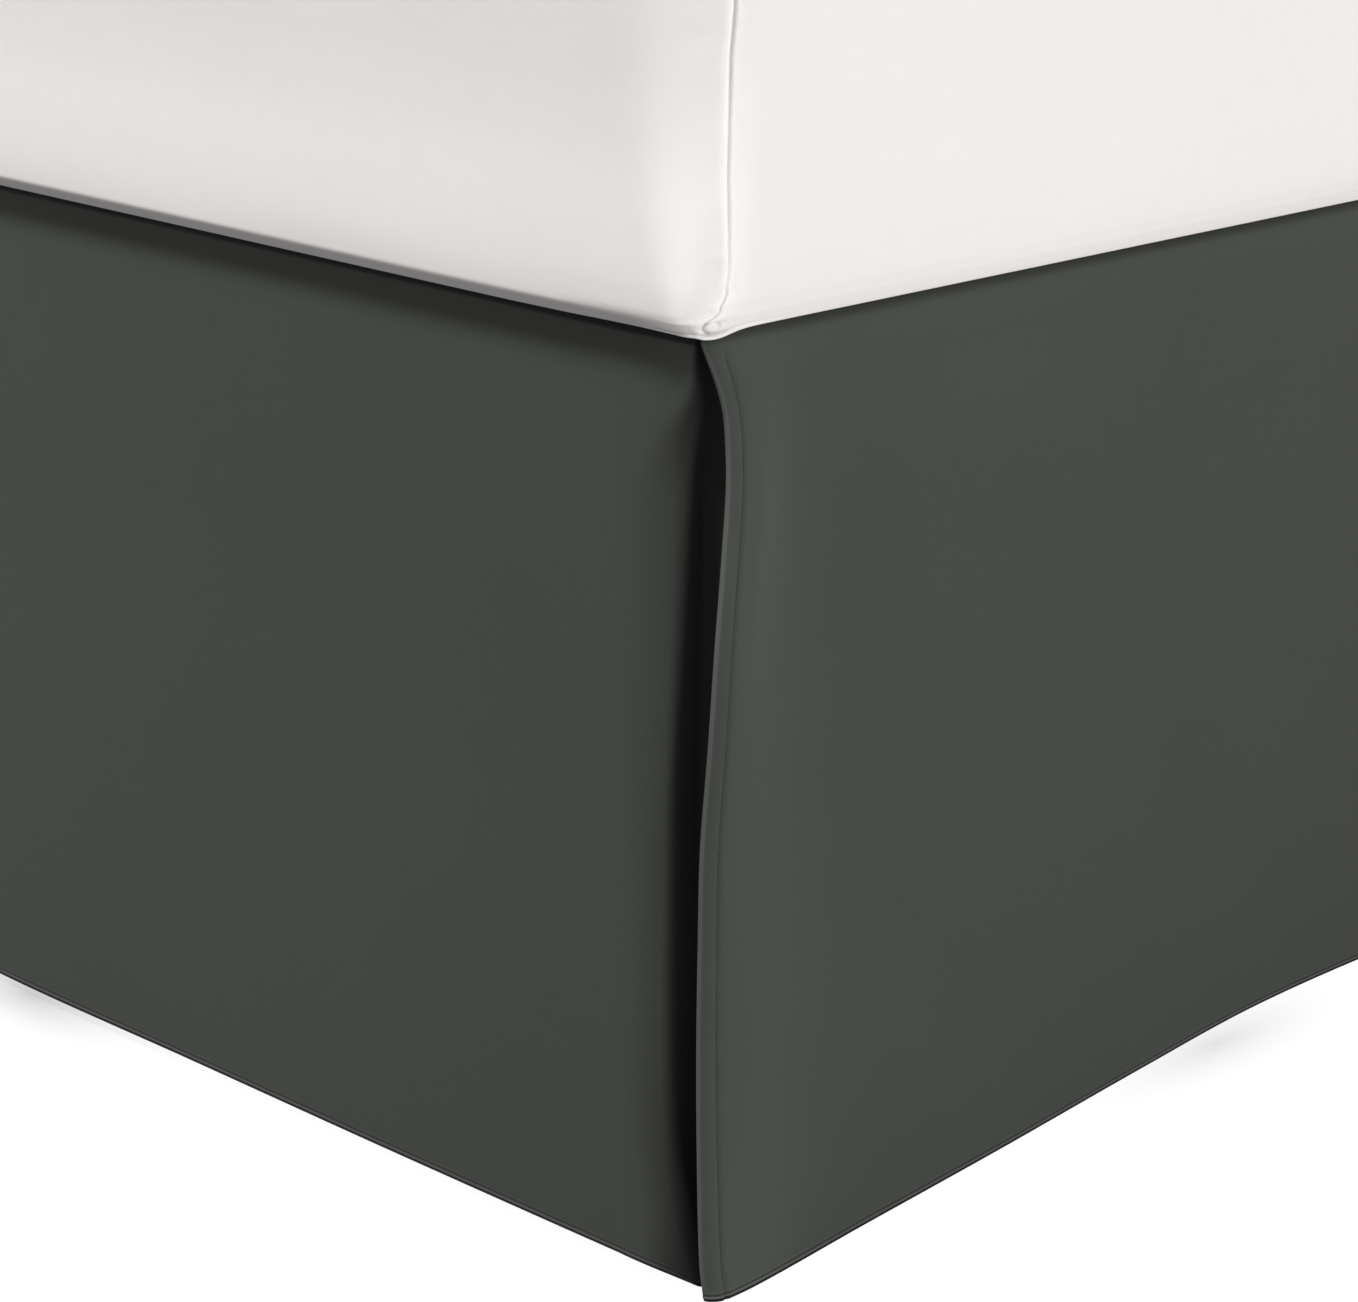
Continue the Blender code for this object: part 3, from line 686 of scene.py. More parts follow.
# Height over the deck, how far the sides and the ends stand out past the deck's edge, and the
# radius of the corners.
MATTRESS_PROFILE = make_table(
    "up      side     end      corner",
    (0.0000, -0.0060, -0.0010, 0.0060),
    (0.0004, 0.0016,  0.0016,  0.0060),
    (0.0007, 0.0025,  0.0022,  0.0060),
    (0.0024, 0.0035,  0.0040,  0.0065),
    (0.0042, 0.0043,  0.0059,  0.0075),
    (0.0054, 0.0048,  0.0069,  0.0083),
    (0.0064, 0.0052,  0.0074,  0.0090),
    (0.0085, 0.0058,  0.0078,  0.0104),
    (0.0120, 0.0067,  0.0083,  0.0127),
    (0.0180, 0.0076,  0.0088,  0.0160),
    (0.0270, 0.0083,  0.0090,  0.0204),
    (0.0390, 0.0087,  0.0088,  0.0250),
    (0.0500, 0.0087,  0.0084,  0.0285),
    (0.0600, 0.0087,  0.0082,  0.0312),
    (0.0700, 0.0088,  0.0084,  0.0337),
    (0.0850, 0.0093,  0.0092,  0.0370),
    (0.1000, 0.0101,  0.0106,  0.0400),
    (0.1150, 0.0111,  0.0121,  0.0425),
    (0.1350, 0.0123,  0.0136,  0.0450),
    (0.1550, 0.0129,  0.0143,  0.0470),
    (0.1800, 0.0126,  0.0136,  0.0485),
    (0.2050, 0.0100,  0.0104,  0.0500),
    (0.2280, 0.0035,  0.0034,  0.0520),
    (0.2460, -0.0115, -0.0120, 0.0540),
    (0.2540, -0.0350, -0.0350, 0.0550),
)
# The bottom edge hangs lower just round each corner, towards the side of the bed, and the
# bottom of an end is pulled in near its corners.
CORNER_DIP = {"at": 0.0125, "wide": 0.0100, "deep": 0.0020, "height": 0.0060}
END_PULL = {"deep": 0.0028, "reach": 0.080, "blend": 0.060, "height": 0.0095,
            "past": 0.0035, "turn": 0.006}  # ends this far past the corner's middle, over this
# Slight unevenness of the wall: long waves that wander sideways, and short ones.
SWELL = {"high": 0.00035, "along": 17.0, "up": 13.0, "wander": 1.3, "low": 0.02, "top": 0.03}
RIPPLE = {"high": 0.00025, "along": 41.0, "up": 30.0, "start": 0.7}
TOP_EDGE = 0.236            # over this height the cover turns in to its top
# Rings of the top, as shares of the wall's last ring, and the share over which they even out.
CROWN_SHARES = (0.985, 0.97, 0.95, 0.92, 0.88, 0.82, 0.74, 0.64, 0.52, 0.38, 0.22)
CROWN_FADE = 0.06
# Seam down a corner of the cover: how far it runs round towards the side of the bed from the
# middle of the corner, by height over the deck.
SEAM_LINE = make_table(
    "up      round",
    (0.0000, 0.0060), (0.0024, 0.0068), (0.0036, 0.0078), (0.0056, 0.0098),
    (0.0064, 0.0119), (0.0076, 0.0142), (0.0092, 0.0156), (0.0112, 0.0156),
    (0.0130, 0.0168), (0.0158, 0.0177), (0.0176, 0.0171), (0.0225, 0.0171),
    (0.0345, 0.0154), (0.0550, 0.0134), (0.0755, 0.0134), (0.0960, 0.0140),
    (0.1165, 0.0157), (0.1400, 0.0160), (0.2540, 0.0157),
)
# Creases beside the seam, from it towards the side of the bed, and heights over the deck.
CORNER_CREASES = make_table(
    "from               to                 wide    deep",
    ((-0.0008, 0.0240), (-0.0080, 0.0090), 0.0011, 0.0004),
    ((-0.0015, 0.0150), (-0.0100, 0.0050), 0.0009, 0.0005),
    ((-0.0030, 0.0300), (-0.0110, 0.0180), 0.0016, 0.0003),
    ((0.0012, 0.0225),  (0.0034, 0.0130),  0.0007, 0.0007),
    ((0.0034, 0.0215),  (0.0050, 0.0125),  0.0007, 0.0006),
    ((0.0010, 0.0150),  (0.0052, 0.0105),  0.0008, 0.0005),
    ((-0.0030, 0.1080), (-0.0160, 0.1030), 0.0017, 0.0005),
    ((-0.0030, 0.1120), (-0.0130, 0.1145), 0.0013, 0.0004),
    ((-0.0030, 0.1190), (-0.0120, 0.1240), 0.0015, 0.0004),
    ((-0.0010, 0.1480), (-0.0130, 0.1530), 0.0015, 0.0004),
    ((-0.0010, 0.1640), (-0.0100, 0.1720), 0.0014, 0.0004),
    ((0.0010, 0.1720),  (0.0080, 0.1660),  0.0013, 0.0003),
    ((0.0010, 0.2120),  (0.0110, 0.2200),  0.0016, 0.0005),
    ((-0.0010, 0.2200), (-0.0120, 0.2290), 0.0016, 0.0005),
)
SEAM_SLOPE = 0.0004         # step at which the seam's slope is measured
SEAM_WIDE = 0.00034
SEAM_SHADE_WIDE = 1.3 * SEAM_WIDE
# Depth of the seam's line, how dark the painted shade in it is, and how pale the painted highlight
# makes the cloth beside it, by height over the deck.
SEAM_GROOVE = make_table(
    "up      deep    dark  pale",
    (0.0000, 0.0012, 0.00, 0.020),
    (0.0045, 0.0012, 0.28, 0.035),
    (0.0130, 0.0013, 0.28, 0.070),
    (0.0180, 0.0010, 0.10, 0.070),
    (0.0400, 0.0009, 0.09, 0.072),
    (0.0550, 0.0006, 0.06, 0.072),
    (0.0800, 0.0006, 0.06, 0.065),
    (0.1000, 0.0009, 0.14, 0.040),
    (0.1150, 0.0009, 0.14, 0.020),
    (0.2540, 0.0009, 0.10, 0.020),
)
# Painted highlights make the cloth pale in a broad strip, mostly on the seam's side towards the
# side of the bed, and in two narrow pressed ones.
SEAM_PAINTED_HIGHLIGHT = {"at": 0.0040, "wide": 0.0070}
SEAM_HIGHLIGHT_STRIPS = make_table(
    "at       wide    pale",
    (-0.0018, 0.0014, 0.110),
    (0.0014,  0.0009, 0.080),
)
# Ridges beside the seam, with the waves that make them uneven.
SEAM_RIDGES = make_table(
    "off      before  after   high",
    (-0.0018, 0.0042, 0.0011, 0.0007),
    (0.0015,  0.0008, 0.0022, 0.0005),
)
SEAM_WAVES = make_table(
    "share  length",
    (0.30,  0.0087),
    (0.20,  0.0210),
)
SEAM_START = {"up": 0.0036, "blend": 0.0030}
SEAM_TONE_START = {"up": 0.0040, "blend": 0.0040}
# At its bottom the seam ends in a small roll of gathered cloth.  The line round the roll is a
# groove with painted shade in it, darkest at its far end.
SEAM_KNOT = {"round": 0.0122, "up": 0.0040, "long": 0.0036, "tall": 0.0014, "high": 0.0007,
             "edge": 1.15, "soft": 0.75}
KNOT_LINE = {"at": 1.15, "wide": 0.20, "deep": 0.0006, "dark": 0.52, "least": 0.20,
             "from": 0.0130, "fade": 0.0030}
# Narrow bead along the bottom edge of the cover, strongest at the corner, and the groove over it,
# darkened by painted shade.
BEAD = {"at": 0.0010, "wide": 0.0007, "high": 0.0008, "reach": 0.030}
BEAD_GROOVE = {"at": 0.0021, "wide": 0.0005, "deep": 0.0008, "dark": 0.42}
BEAD_PAINTED_SHADE = {"at": 0.0120, "wide": 0.0110}      # round from the corner's middle
CORNER_REACH = 0.060        # of the fine columns, each way from the seam
CORNER_EVEN = 0.0090        # of the finest, which are CORNER_STEP apart
CORNER_STEP = 0.00036
CORNER_WIDEST = 0.0026
COVER_STEPS = (60, 45)      # of a ring along a side and along an end, between fine columns
FAR_AWAY = 1.0              # stands for a place with no seam or corner near it
# Levels of the cover's wall: up to each height over the deck in so many steps.
COVER_LEVELS = make_table(
    "top     steps",
    (0.0004, 1),  (0.0070, 22), (0.0130, 12), (0.0360, 22),
    (0.2280, 54), (0.2540, 12),
)
# Under the pulled-in lower edge of an end, painted shade makes the cloth grey, fading towards the
# corner.
UNDER_PAINTED_SHADE = {"dark": 0.40, "near": 0.0040, "far": 0.0074, "fade": 0.0340, "end": 0.0040}


def knot_reach(round_off, up):
    """Distance from the middle of the roll at the seam's end, in its own half sizes."""
    return np.hypot((round_off - SEAM_KNOT["round"]) / SEAM_KNOT["long"],
                    (up - SEAM_KNOT["up"]) / SEAM_KNOT["tall"])


def corner_relief(off, near, round_off, up):
    """How far the cover stands out near a corner: off is the level distance from its seam, near
    the one square to it, and round_off from the middle of the corner, all towards the side of
    the bed."""
    uneven = 1.0 + sum(wave["share"] * math.sin(up * 2 * math.pi / wave["length"])
                       for wave in SEAM_WAVES)
    seam = -read(SEAM_GROOVE, "deep", up) * bell(near / SEAM_WIDE)
    for ridge in SEAM_RIDGES:
        wide = np.where(near < ridge["off"], ridge["before"], ridge["after"])
        seam = seam + ridge["high"] * uneven * bell((near - ridge["off"]) / wide)
    seam = seam * smooth((up - SEAM_START["up"]) / SEAM_START["blend"])
    reach = knot_reach(round_off, up)
    knot = SEAM_KNOT["high"] * smooth((SEAM_KNOT["edge"] - reach) / SEAM_KNOT["soft"])
    knot = knot - KNOT_LINE["deep"] * hump(reach, KNOT_LINE)
    bead = BEAD["high"] * hump(up, BEAD) - BEAD_GROOVE["deep"] * hump(up, BEAD_GROOVE)
    bead = bead * bell(round_off / BEAD["reach"])
    return seam + knot + bead - crease_depth(CORNER_CREASES, off, up)


def painted_cover_light(near, round_off, on_end, up):
    """Painted shade and highlights on the cover, over its own colour."""
    # Painted shade under the pulled-in lower edge of an end.
    under = smooth((UNDER_PAINTED_SHADE["far"] - up) / (UNDER_PAINTED_SHADE["far"] - UNDER_PAINTED_SHADE["near"]))
    fade = smooth((UNDER_PAINTED_SHADE["end"] - round_off) / UNDER_PAINTED_SHADE["fade"])
    fade = np.where(round_off < FAR_AWAY, fade, 1.0)
    tone = 1.0 - UNDER_PAINTED_SHADE["dark"] * under * on_end * fade
    # Painted highlights beside the seam, and painted shade in its line.
    pale = sum(strip["pale"] * hump(near, strip) for strip in SEAM_HIGHLIGHT_STRIPS)
    pale = pale + read(SEAM_GROOVE, "pale", up) * hump(near, SEAM_PAINTED_HIGHLIGHT)
    line = read(SEAM_GROOVE, "dark", up) * bell(near / SEAM_SHADE_WIDE)
    begun = smooth((up - SEAM_TONE_START["up"]) / SEAM_TONE_START["blend"])
    tone = tone * (1.0 + (pale - line) * begun)
    # Painted shade in the groove round the knot.
    ring = KNOT_LINE["dark"] * hump(knot_reach(round_off, up), KNOT_LINE)
    far_end = smooth((KNOT_LINE["from"] - round_off) / KNOT_LINE["fade"])
    ring = ring * (KNOT_LINE["least"] + (1.0 - KNOT_LINE["least"]) * far_end)
    # Painted shade in the groove over the bead.
    groove = BEAD_GROOVE["dark"] * hump(up, BEAD_GROOVE) * hump(round_off, BEAD_PAINTED_SHADE)
    return tone * (1.0 - ring) * (1.0 - groove)


def soft_swell(along, up):
    """Slight unevenness of the wall, none at its lower and its upper edge."""
    wander = SWELL["wander"] * math.sin(up * SWELL["up"])
    ripple = along * RIPPLE["along"] + up * RIPPLE["up"] + RIPPLE["start"]
    high = SWELL["high"] * np.sin(along * SWELL["along"] + wander)
    high = high + RIPPLE["high"] * np.sin(ripple)
    return high * smooth(up / SWELL["low"]) * smooth((MATTRESS_HEIGHT - up) / SWELL["top"])


def corner_place(half_x, half_y, radius, s):
    """Points round the foot corner on the right, s from its middle towards the side of the
    bed: a round with the straight edges beside it."""
    turn = np.clip(s / radius, -math.pi / 4, math.pi / 4)
    beyond = s - turn * radius
    x = half_x - radius + radius * np.sin(math.pi / 4 + turn) + np.minimum(beyond, 0.0)
    y = -half_y + radius - radius * np.cos(math.pi / 4 + turn) + np.maximum(beyond, 0.0)
    return np.column_stack([x, y])


def cover_plan(half_x, half_y, radius, seam):
    """One ring of the mattress cover, anticlockwise from above: points, distance of each from
    the nearest seam towards a side of the bed, the same from the middle of the corner, and how
    much it lies on an end."""
    even = np.arange(0.0, CORNER_EVEN, CORNER_STEP)
    marks = np.concatenate([even, spread(CORNER_REACH, CORNER_STEP, CORNER_WIDEST, CORNER_EVEN)])
    marks = np.concatenate([-marks[:0:-1], marks])
    s = marks + seam * (1.0 - np.abs(marks) / CORNER_REACH)
    on_end = 0.5 - (s - END_PULL["past"]) / END_PULL["turn"]
    corners = all_corners(corner_place(half_x, half_y, radius, s))
    ring = []
    for n, these in enumerate(corners):
        turned = slice(None, None, -1) if n % 2 else slice(None)
        ring.append(np.column_stack([these, (s - seam)[turned], s[turned], on_end[turned]]))
        edge = between(these[-1], corners[(n + 1) % 4][0], COVER_STEPS[n % 2])
        far = np.tile((FAR_AWAY, FAR_AWAY, n % 2), (len(edge), 1))
        ring.append(np.column_stack([edge, far]))
    ring = np.concatenate(ring)
    return ring[:, :2], ring[:, 2], ring[:, 3], np.clip(ring[:, 4], 0.0, 1.0)


def cover_ring(up):
    """One level of the cover's wall: its points and how light they are."""
    side, end, radius = (float(read(MATTRESS_PROFILE, key, up))
                         for key in ("side", "end", "corner"))
    below, seam, above = (float(read(SEAM_LINE, "round", up + rise))
                          for rise in (-SEAM_SLOPE, 0.0, SEAM_SLOPE))
    steep = math.hypot(1.0, (above - below) / (2 * SEAM_SLOPE))
    plan, off, round_off, on_end = cover_plan(
        HALF_WIDTH + side, HALF_LENGTH + MATTRESS_END + end, radius, seam)
    ahead = np.roll(plan, -1, axis=0) - np.roll(plan, 1, axis=0)
    out = unit(np.column_stack([ahead[:, 1], -ahead[:, 0]]))
    lengths = np.linalg.norm(np.roll(plan, -1, axis=0) - plan, axis=1)
    relief = soft_swell(np.concatenate([[0.0], np.cumsum(lengths)[:-1]]), up)
    relief = relief + np.where(np.abs(off) < CORNER_REACH,
                               corner_relief(off, off / steep, round_off, up), 0.0)

    near_side = smooth((np.abs(plan[:, 0]) - HALF_WIDTH + END_PULL["reach"]) / END_PULL["blend"])
    pull = END_PULL["deep"] * smooth(1.0 - up / END_PULL["height"]) * near_side * on_end
    pulled = plan - np.sign(plan) * np.column_stack([np.zeros(len(pull)), pull])
    low = (up > 0.0) * smooth(1.0 - up / CORNER_DIP["height"])
    dip = CORNER_DIP["deep"] * hump(round_off, CORNER_DIP) * low
    # Above the upper edge, the relief stands up rather than out.
    rise = smooth((up - TOP_EDGE) / (MATTRESS_HEIGHT - TOP_EDGE))
    ring = level_ring(pulled + out * (relief * (1.0 - rise))[:, None],
                      MATTRESS_LOW.z + up + relief * rise - dip)
    return ring, painted_cover_light(off / steep, round_off, on_end, up)


def crown_rings(last):
    """Rings that close the cover's top, inward from the last one of its wall."""
    top = MATTRESS_LOW.z + MATTRESS_HEIGHT
    rings = []
    for share in CROWN_SHARES:
        crown = MATTRESS_CROWN * (1.0 - share ** 2)
        uneven = (last[:, 2] - top) * max(0.0, 1.0 - (1.0 - share) / CROWN_FADE)
        rings.append(level_ring(last[:, :2] * share, top + crown + uneven))
    return rings


def mattress_cover(material):
    ups = [0.0]
    for stretch in COVER_LEVELS:
        ups += list(np.linspace(ups[-1], stretch["top"], stretch["steps"] + 1))[1:]
    rings, tones = (list(made) for made in zip(*(cover_ring(up) for up in ups)))
    crown = crown_rings(rings[-1])
    tones += [np.ones(len(ring)) for ring in crown]
    piece = closed_stack("mattress_cover", rings + crown, material, tones)
    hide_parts("mattress")
    return piece


# ---- box spring, deck and legs ----
BASE_INSET = 0.008
BASE_CORNER = 0.080
BASE_ROUND = 0.010
BASE_ROUND_STEPS = 6
BASE_UNDER_TONE = 0.16      # of the thin dark cloth under the box spring
BASE_UNDER_TURN = 0.5       # radians of the lower edge's round that it covers
# A leg by height over the floor: its radius and how light it is.  It stands on a small pad.
LEG_PROFILE = make_table(
    "up      radius  tone",
    (0.0000, 0.0185, 3.0),
    (0.0008, 0.0196, 3.0),
    (0.0040, 0.0200, 3.0),
    (0.0046, 0.0196, 1.0),
    (0.0052, 0.0208, 1.3),
    (0.0066, 0.0221, 1.1),
    (0.0500, 0.0246, 1.0),
    (0.1000, 0.0272, 1.0),
    (0.1500, 0.0297, 1.0),
    (0.1540, 0.0300, 1.0),
    (0.1546, 0.0292, 0.7),
    (0.1552, 0.0300, 1.2),
    (0.1592, 0.0300, 1.2),
    (0.1600, 0.0292, 1.0),
)
LEG_SIDES = 48
# Corner, long and short steps of the outlines.
BASE_STEPS = (18, 40, 30)
DECK_STEPS = (8, 60, 45)


def box_spring_cover(material):
    low, high = (corner[2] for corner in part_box("box_spring"))
    turns = np.linspace(0.0, math.pi / 2, BASE_ROUND_STEPS + 1)
    rings, tones = [], []
    for end, sign, order in ((low, 1, turns), (high, -1, turns[::-1])):
        for turn in order:
            rounding = BASE_ROUND * (1.0 - math.sin(turn))
            plan = ring_plan(HALF_WIDTH - BASE_INSET - rounding,
                             HALF_LENGTH - BASE_INSET - rounding,
                             BASE_CORNER - rounding, *BASE_STEPS)
            rings.append(level_ring(plan, end + sign * BASE_ROUND * (1.0 - math.cos(turn))))
            under = sign > 0 and turn < BASE_UNDER_TURN
            tones.append(np.full(len(plan), BASE_UNDER_TONE if under else 1.0))
    piece = closed_stack("box_spring_cover", rings, material, tones)
    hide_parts("box_spring")
    return piece


def leg(name, node_name, material):
    low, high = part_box(node_name)
    middle = ((low[0] + high[0]) / 2, (low[1] + high[1]) / 2)
    turns = np.radians(np.arange(LEG_SIDES) * 360.0 / LEG_SIDES)
    circle = np.column_stack([np.cos(turns), np.sin(turns)])
    rings = [level_ring(circle * row["radius"] + middle, low[2] + row["up"])
             for row in LEG_PROFILE]
    tones = [np.full(LEG_SIDES, row["tone"]) for row in LEG_PROFILE]
    piece = closed_stack(name, rings, material, tones)
    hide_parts(node_name)
    return piece


def deck_cloth(material):
    inset = HALF_WIDTH - DECK_HIGH.x
    plan = ring_plan(DECK_HIGH.x, HALF_LENGTH - inset, CORNER_RADIUS - inset, *DECK_STEPS)
    rings = [level_ring(plan, z) for z in (DECK_LOW.z, DECK_HIGH.z)]
    piece = closed_stack("deck_cloth", rings, material)
    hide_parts("deck")
    return piece


# ---- materials ----
BUMP_DISTANCE = 0.0001
THREAD_LENGTH = 24.0        # of the woven threads, over their width
FINE_SHARE = 0.35           # of the threads and of the broad patches in a cloth's tone
BROAD_SHARE = 0.30
PAINT_TONES = ((0.016, 0.016, 0.016), (0.026, 0.026, 0.025))


def feed(tree, made, inputs):
    """Gives each input of a node, by its name or number, a value or another node's output."""
    for key, value in inputs.items():
        if isinstance(value, bpy.types.NodeSocket):
            tree.links.new(value, made.inputs[key])
        else:
            made.inputs[key].default_value = value


def node(tree, kind, inputs, **settings):
    made = tree.nodes.new(kind)
    for key, value in settings.items():
        setattr(made, key, value)
    feed(tree, made, inputs)
    return made


def new_material(name):
    material = bpy.data.materials.new(name)
    material.use_nodes = True
    return material, material.node_tree, material.node_tree.nodes["Principled BSDF"]


def grey(level):
    return (level, level, level, 1.0)


def mesh_value(tree, name, output):
    """What the mesh itself holds at each point under a name."""
    return node(tree, "ShaderNodeAttribute", {}, attribute_name=name).outputs[output]


def noise(tree, place, scale, detail):
    inputs = {"Vector": place, "Scale": scale, "Detail": detail}
    return node(tree, "ShaderNodeTexNoise", inputs).outputs["Fac"]


def calculated(tree, operation, *values):
    inputs = dict(enumerate(values))
    return node(tree, "ShaderNodeMath", inputs, operation=operation).outputs["Value"]


def tinted(tree, share, places, tones):
    """Colour between two tones, from one place of the share to the other, made lighter or
    darker by the mesh's own tone, which holds painted light and shade on the skirt and the cover
    as well as the thing's own lighter and darker parts."""
    ramp = node(tree, "ShaderNodeValToRGB", {"Fac": share})
    for element, place, tone in zip(ramp.color_ramp.elements, places, tones):
        element.position = place
        element.color = (*tone, 1.0)
    inputs = {0: ramp.outputs["Color"], "Scale": mesh_value(tree, "tone", "Fac")}
    return node(tree, "ShaderNodeVectorMath", inputs, operation="SCALE").outputs["Vector"]


def bumped(tree, height, strength):
    inputs = {"Height": height, "Strength": strength, "Distance": BUMP_DISTANCE}
    return node(tree, "ShaderNodeBump", inputs).outputs["Normal"]


def woven(name, tones, roughness, sheen, threads, patch_scale, bump_strength):
    """Woven cloth: its colour goes between two tones with broad soft patches and with fine
    threads each way, which also stand up a little."""
    material, tree, shader = new_material(name)
    lay = mesh_value(tree, "lay", "Vector")
    long = threads / THREAD_LENGTH
    each_way = []
    for scale in ((threads, long, long), (long, threads, long)):
        mapped = node(tree, "ShaderNodeMapping", {"Vector": lay, "Scale": scale})
        each_way.append(noise(tree, mapped.outputs["Vector"], scale=1.0, detail=1.0))
    fine = calculated(tree, "ADD", *each_way)
    broad = noise(tree, lay, scale=patch_scale, detail=3.0)
    broad = calculated(tree, "MULTIPLY", broad, BROAD_SHARE)
    share = calculated(tree, "MULTIPLY_ADD", fine, FINE_SHARE, broad)
    feed(tree, shader, {
        "Base Color": tinted(tree, share, places=(0.30, 0.70), tones=tones),
        "Roughness": roughness,
        "Sheen Weight": sheen,
        "Sheen Roughness": 0.45,
        "Specular IOR Level": 0.12,
        "Normal": bumped(tree, fine, bump_strength),
    })
    return material


def skirt_material():
    """Brushed microfibre, dark grey green."""
    return woven("skirt cloth", ((0.0532, 0.0575, 0.0517), (0.0610, 0.0660, 0.0595)),
                 roughness=0.85, sheen=0.12, threads=2200.0, patch_scale=9.0,
                 bump_strength=0.12)


def cover_material():
    """Smooth white cotton."""
    return woven("mattress cover", ((0.845, 0.812, 0.803), (0.872, 0.839, 0.830)),
                 roughness=0.85, sheen=0.06, threads=1900.0, patch_scale=6.0,
                 bump_strength=0.10)


def base_material():
    """Coarser pale grey cloth of the box spring."""
    return woven("box spring cloth", ((0.50, 0.48, 0.45), (0.64, 0.62, 0.59)),
                 roughness=0.90, sheen=0.05, threads=900.0, patch_scale=12.0,
                 bump_strength=0.35)


def leg_material():
    """Matt black paint, slightly uneven, on a paler rubber pad."""
    material, tree, shader = new_material("leg paint")
    lay = mesh_value(tree, "lay", "Vector")
    broad = noise(tree, lay, scale=45.0, detail=4.0)
    fine = noise(tree, lay, scale=900.0, detail=2.0)
    gloss = node(tree, "ShaderNodeMapRange", {"Value": broad, "To Min": 0.36, "To Max": 0.58})
    feed(tree, shader, {
        "Base Color": tinted(tree, broad, places=(0.30, 0.72), tones=PAINT_TONES),
        "Roughness": gloss.outputs["Result"],
        "Normal": bumped(tree, fine, strength=0.20),
    })
    return material


# ---- floor, lights and camera ----
FLOOR_HALF = 14.0
FLOOR_GLOW = 0.98
# Faint soft shadows on the floor: their middles, half sizes and how much they take off the
# floor's own brightness.
FLOOR_SHADES = make_table(
    "at               size            dark",
    ((0.330, -1.022), (0.130, 0.050), 0.42),
    ((0.754, -0.658), (0.038, 0.120), 0.25),
)
BED_CORNER = Vector((HALF_WIDTH, -HALF_LENGTH, 0.3))        # where the lights point


def seen_straight(tree, lit, seen, output):
    """Joins two shaders: one that lights the object, and one that the camera sees."""
    path = node(tree, "ShaderNodeLightPath", {})
    inputs = {"Fac": path.outputs["Is Camera Ray"], 1: lit.outputs[0], 2: seen.outputs[0]}
    feed(tree, output, {"Surface": node(tree, "ShaderNodeMixShader", inputs).outputs[0]})


def floor_glow(tree):
    """How brightly the floor glows for the camera: less in each of its soft shadows."""
    place = node(tree, "ShaderNodeTexCoord", {}).outputs["Object"]
    glow = FLOOR_GLOW
    for shade in FLOOR_SHADES:
        size = Vector((*shade["size"], 1.0))
        start = (-shade["at"][0] / size.x, -shade["at"][1] / size.y, 0.0)
        inputs = {"Vector": place, "Location": start, "Scale": [1.0 / part for part in size]}
        mapped = node(tree, "ShaderNodeMapping", inputs)
        ball = node(tree, "ShaderNodeTexGradient", {"Vector": mapped.outputs["Vector"]},
                    gradient_type="QUADRATIC_SPHERE")
        glow = calculated(tree, "MULTIPLY_ADD", ball.outputs["Fac"], -shade["dark"], glow)
    return glow


def make_floor():
    points = [(x * FLOOR_HALF, y * FLOOR_HALF, 0.0)
              for x, y in ((-1, -1), (1, -1), (1, 1), (-1, 1))]
    material, tree, lit = new_material("pale floor")
    feed(tree, lit, {"Base Color": grey(0.42), "Roughness": 0.9})
    seen = node(tree, "ShaderNodeBsdfPrincipled", {
        "Base Color": grey(0.10),
        "Roughness": 0.9,
        "Emission Color": grey(1.0),
        "Emission Strength": floor_glow(tree),
    })
    seen_straight(tree, lit, seen, tree.nodes["Material Output"])
    floor = new_piece("floor", points, [(0, 1, 2, 3)], material)


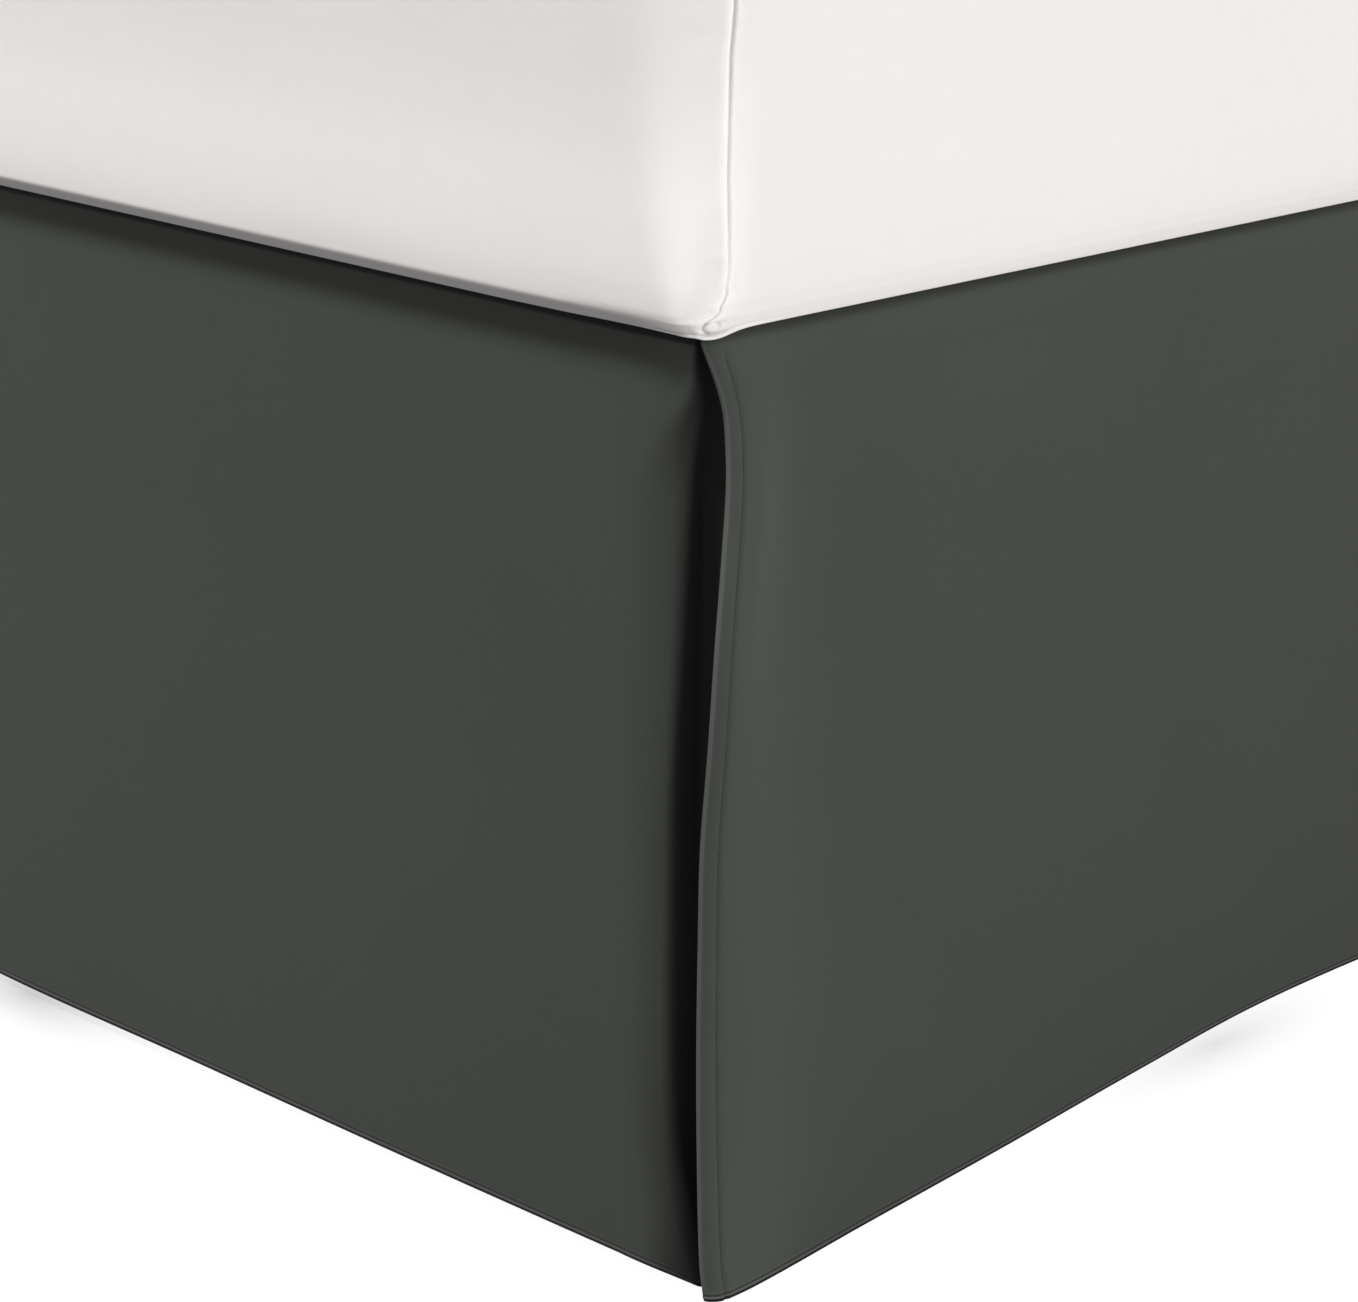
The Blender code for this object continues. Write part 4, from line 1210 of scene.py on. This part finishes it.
def far_light(name, azimuth, elevation, distance, size, power):
    """Soft light that shines on the foot corner: azimuth 0 is straight at the foot of the bed,
    90 straight at its right-hand side, in degrees."""
    turn, lift = math.radians(azimuth), math.radians(elevation)
    direction = Vector((math.sin(turn) * math.cos(lift), -math.cos(turn) * math.cos(lift),
                        math.sin(lift)))
    data = bpy.data.lights.new(name, "AREA")
    data.shape = "RECTANGLE"
    data.size, data.size_y = size
    data.energy = power
    light = bpy.data.objects.new(name, data)
    light.location = BED_CORNER + direction * distance
    light.rotation_euler = (-direction).to_track_quat("-Z", "Y").to_euler()
    bpy.context.scene.collection.objects.link(light)


def make_lights():
    far_light("foot light", azimuth=-27.0, elevation=50.0, distance=5.0, size=(1.6, 0.9),
              power=225.0)
    far_light("side light", azimuth=96.0, elevation=15.0, distance=4.5, size=(2.6, 2.4),
              power=162.0)
    world = bpy.data.worlds.new("studio")
    world.use_nodes = True
    tree = world.node_tree
    lit = tree.nodes["Background"]
    feed(tree, lit, {"Color": grey(1.0), "Strength": 0.16})
    seen = node(tree, "ShaderNodeBackground", {"Color": grey(1.0)})
    seen_straight(tree, lit, seen, tree.nodes["World Output"])
    bpy.context.scene.world = world
    bpy.context.scene.view_settings.view_transform = "Standard"


def make_camera():
    data = bpy.data.cameras.new("camera")
    data.sensor_width = SENSOR
    data.lens = FOCAL_PIXELS * SENSOR / PHOTO_WIDTH
    camera = bpy.data.objects.new("camera", data)
    turn = Matrix((CAMERA_RIGHT, CAMERA_UP, CAMERA_BACK)).transposed()
    camera.matrix_world = Matrix.Translation(CAMERA_PLACE) @ turn.to_4x4()
    bpy.context.scene.collection.objects.link(camera)
    bpy.context.scene.camera = camera


# ---- the whole scene ----
def build():
    cloth = skirt_material()
    make_camera()
    make_floor()
    make_lights()
    pieces = [mattress_cover(cover_material()), box_spring_cover(base_material()),
              deck_cloth(cloth)]

    foot = foot_drop("foot_cloth", FOOT_CREASES, cloth)
    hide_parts("foot_drop")
    pieces.append(foot)
    for side, hem, mirrored in (("right", RIGHT_HEM, False), ("left", LEFT_HEM, True)):
        drop, threads = side_drop(f"side_cloth_{side}", hem, mirrored, SIDE_CREASES, cloth)
        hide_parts(f"side_drop_{side}")
        pieces += [drop, threads]
    paint = leg_material()
    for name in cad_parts:
        if name.startswith("leg_"):
            pieces.append(leg(f"painted_{name}", name, paint))
    for piece in pieces:
        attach(piece, "root")


build()
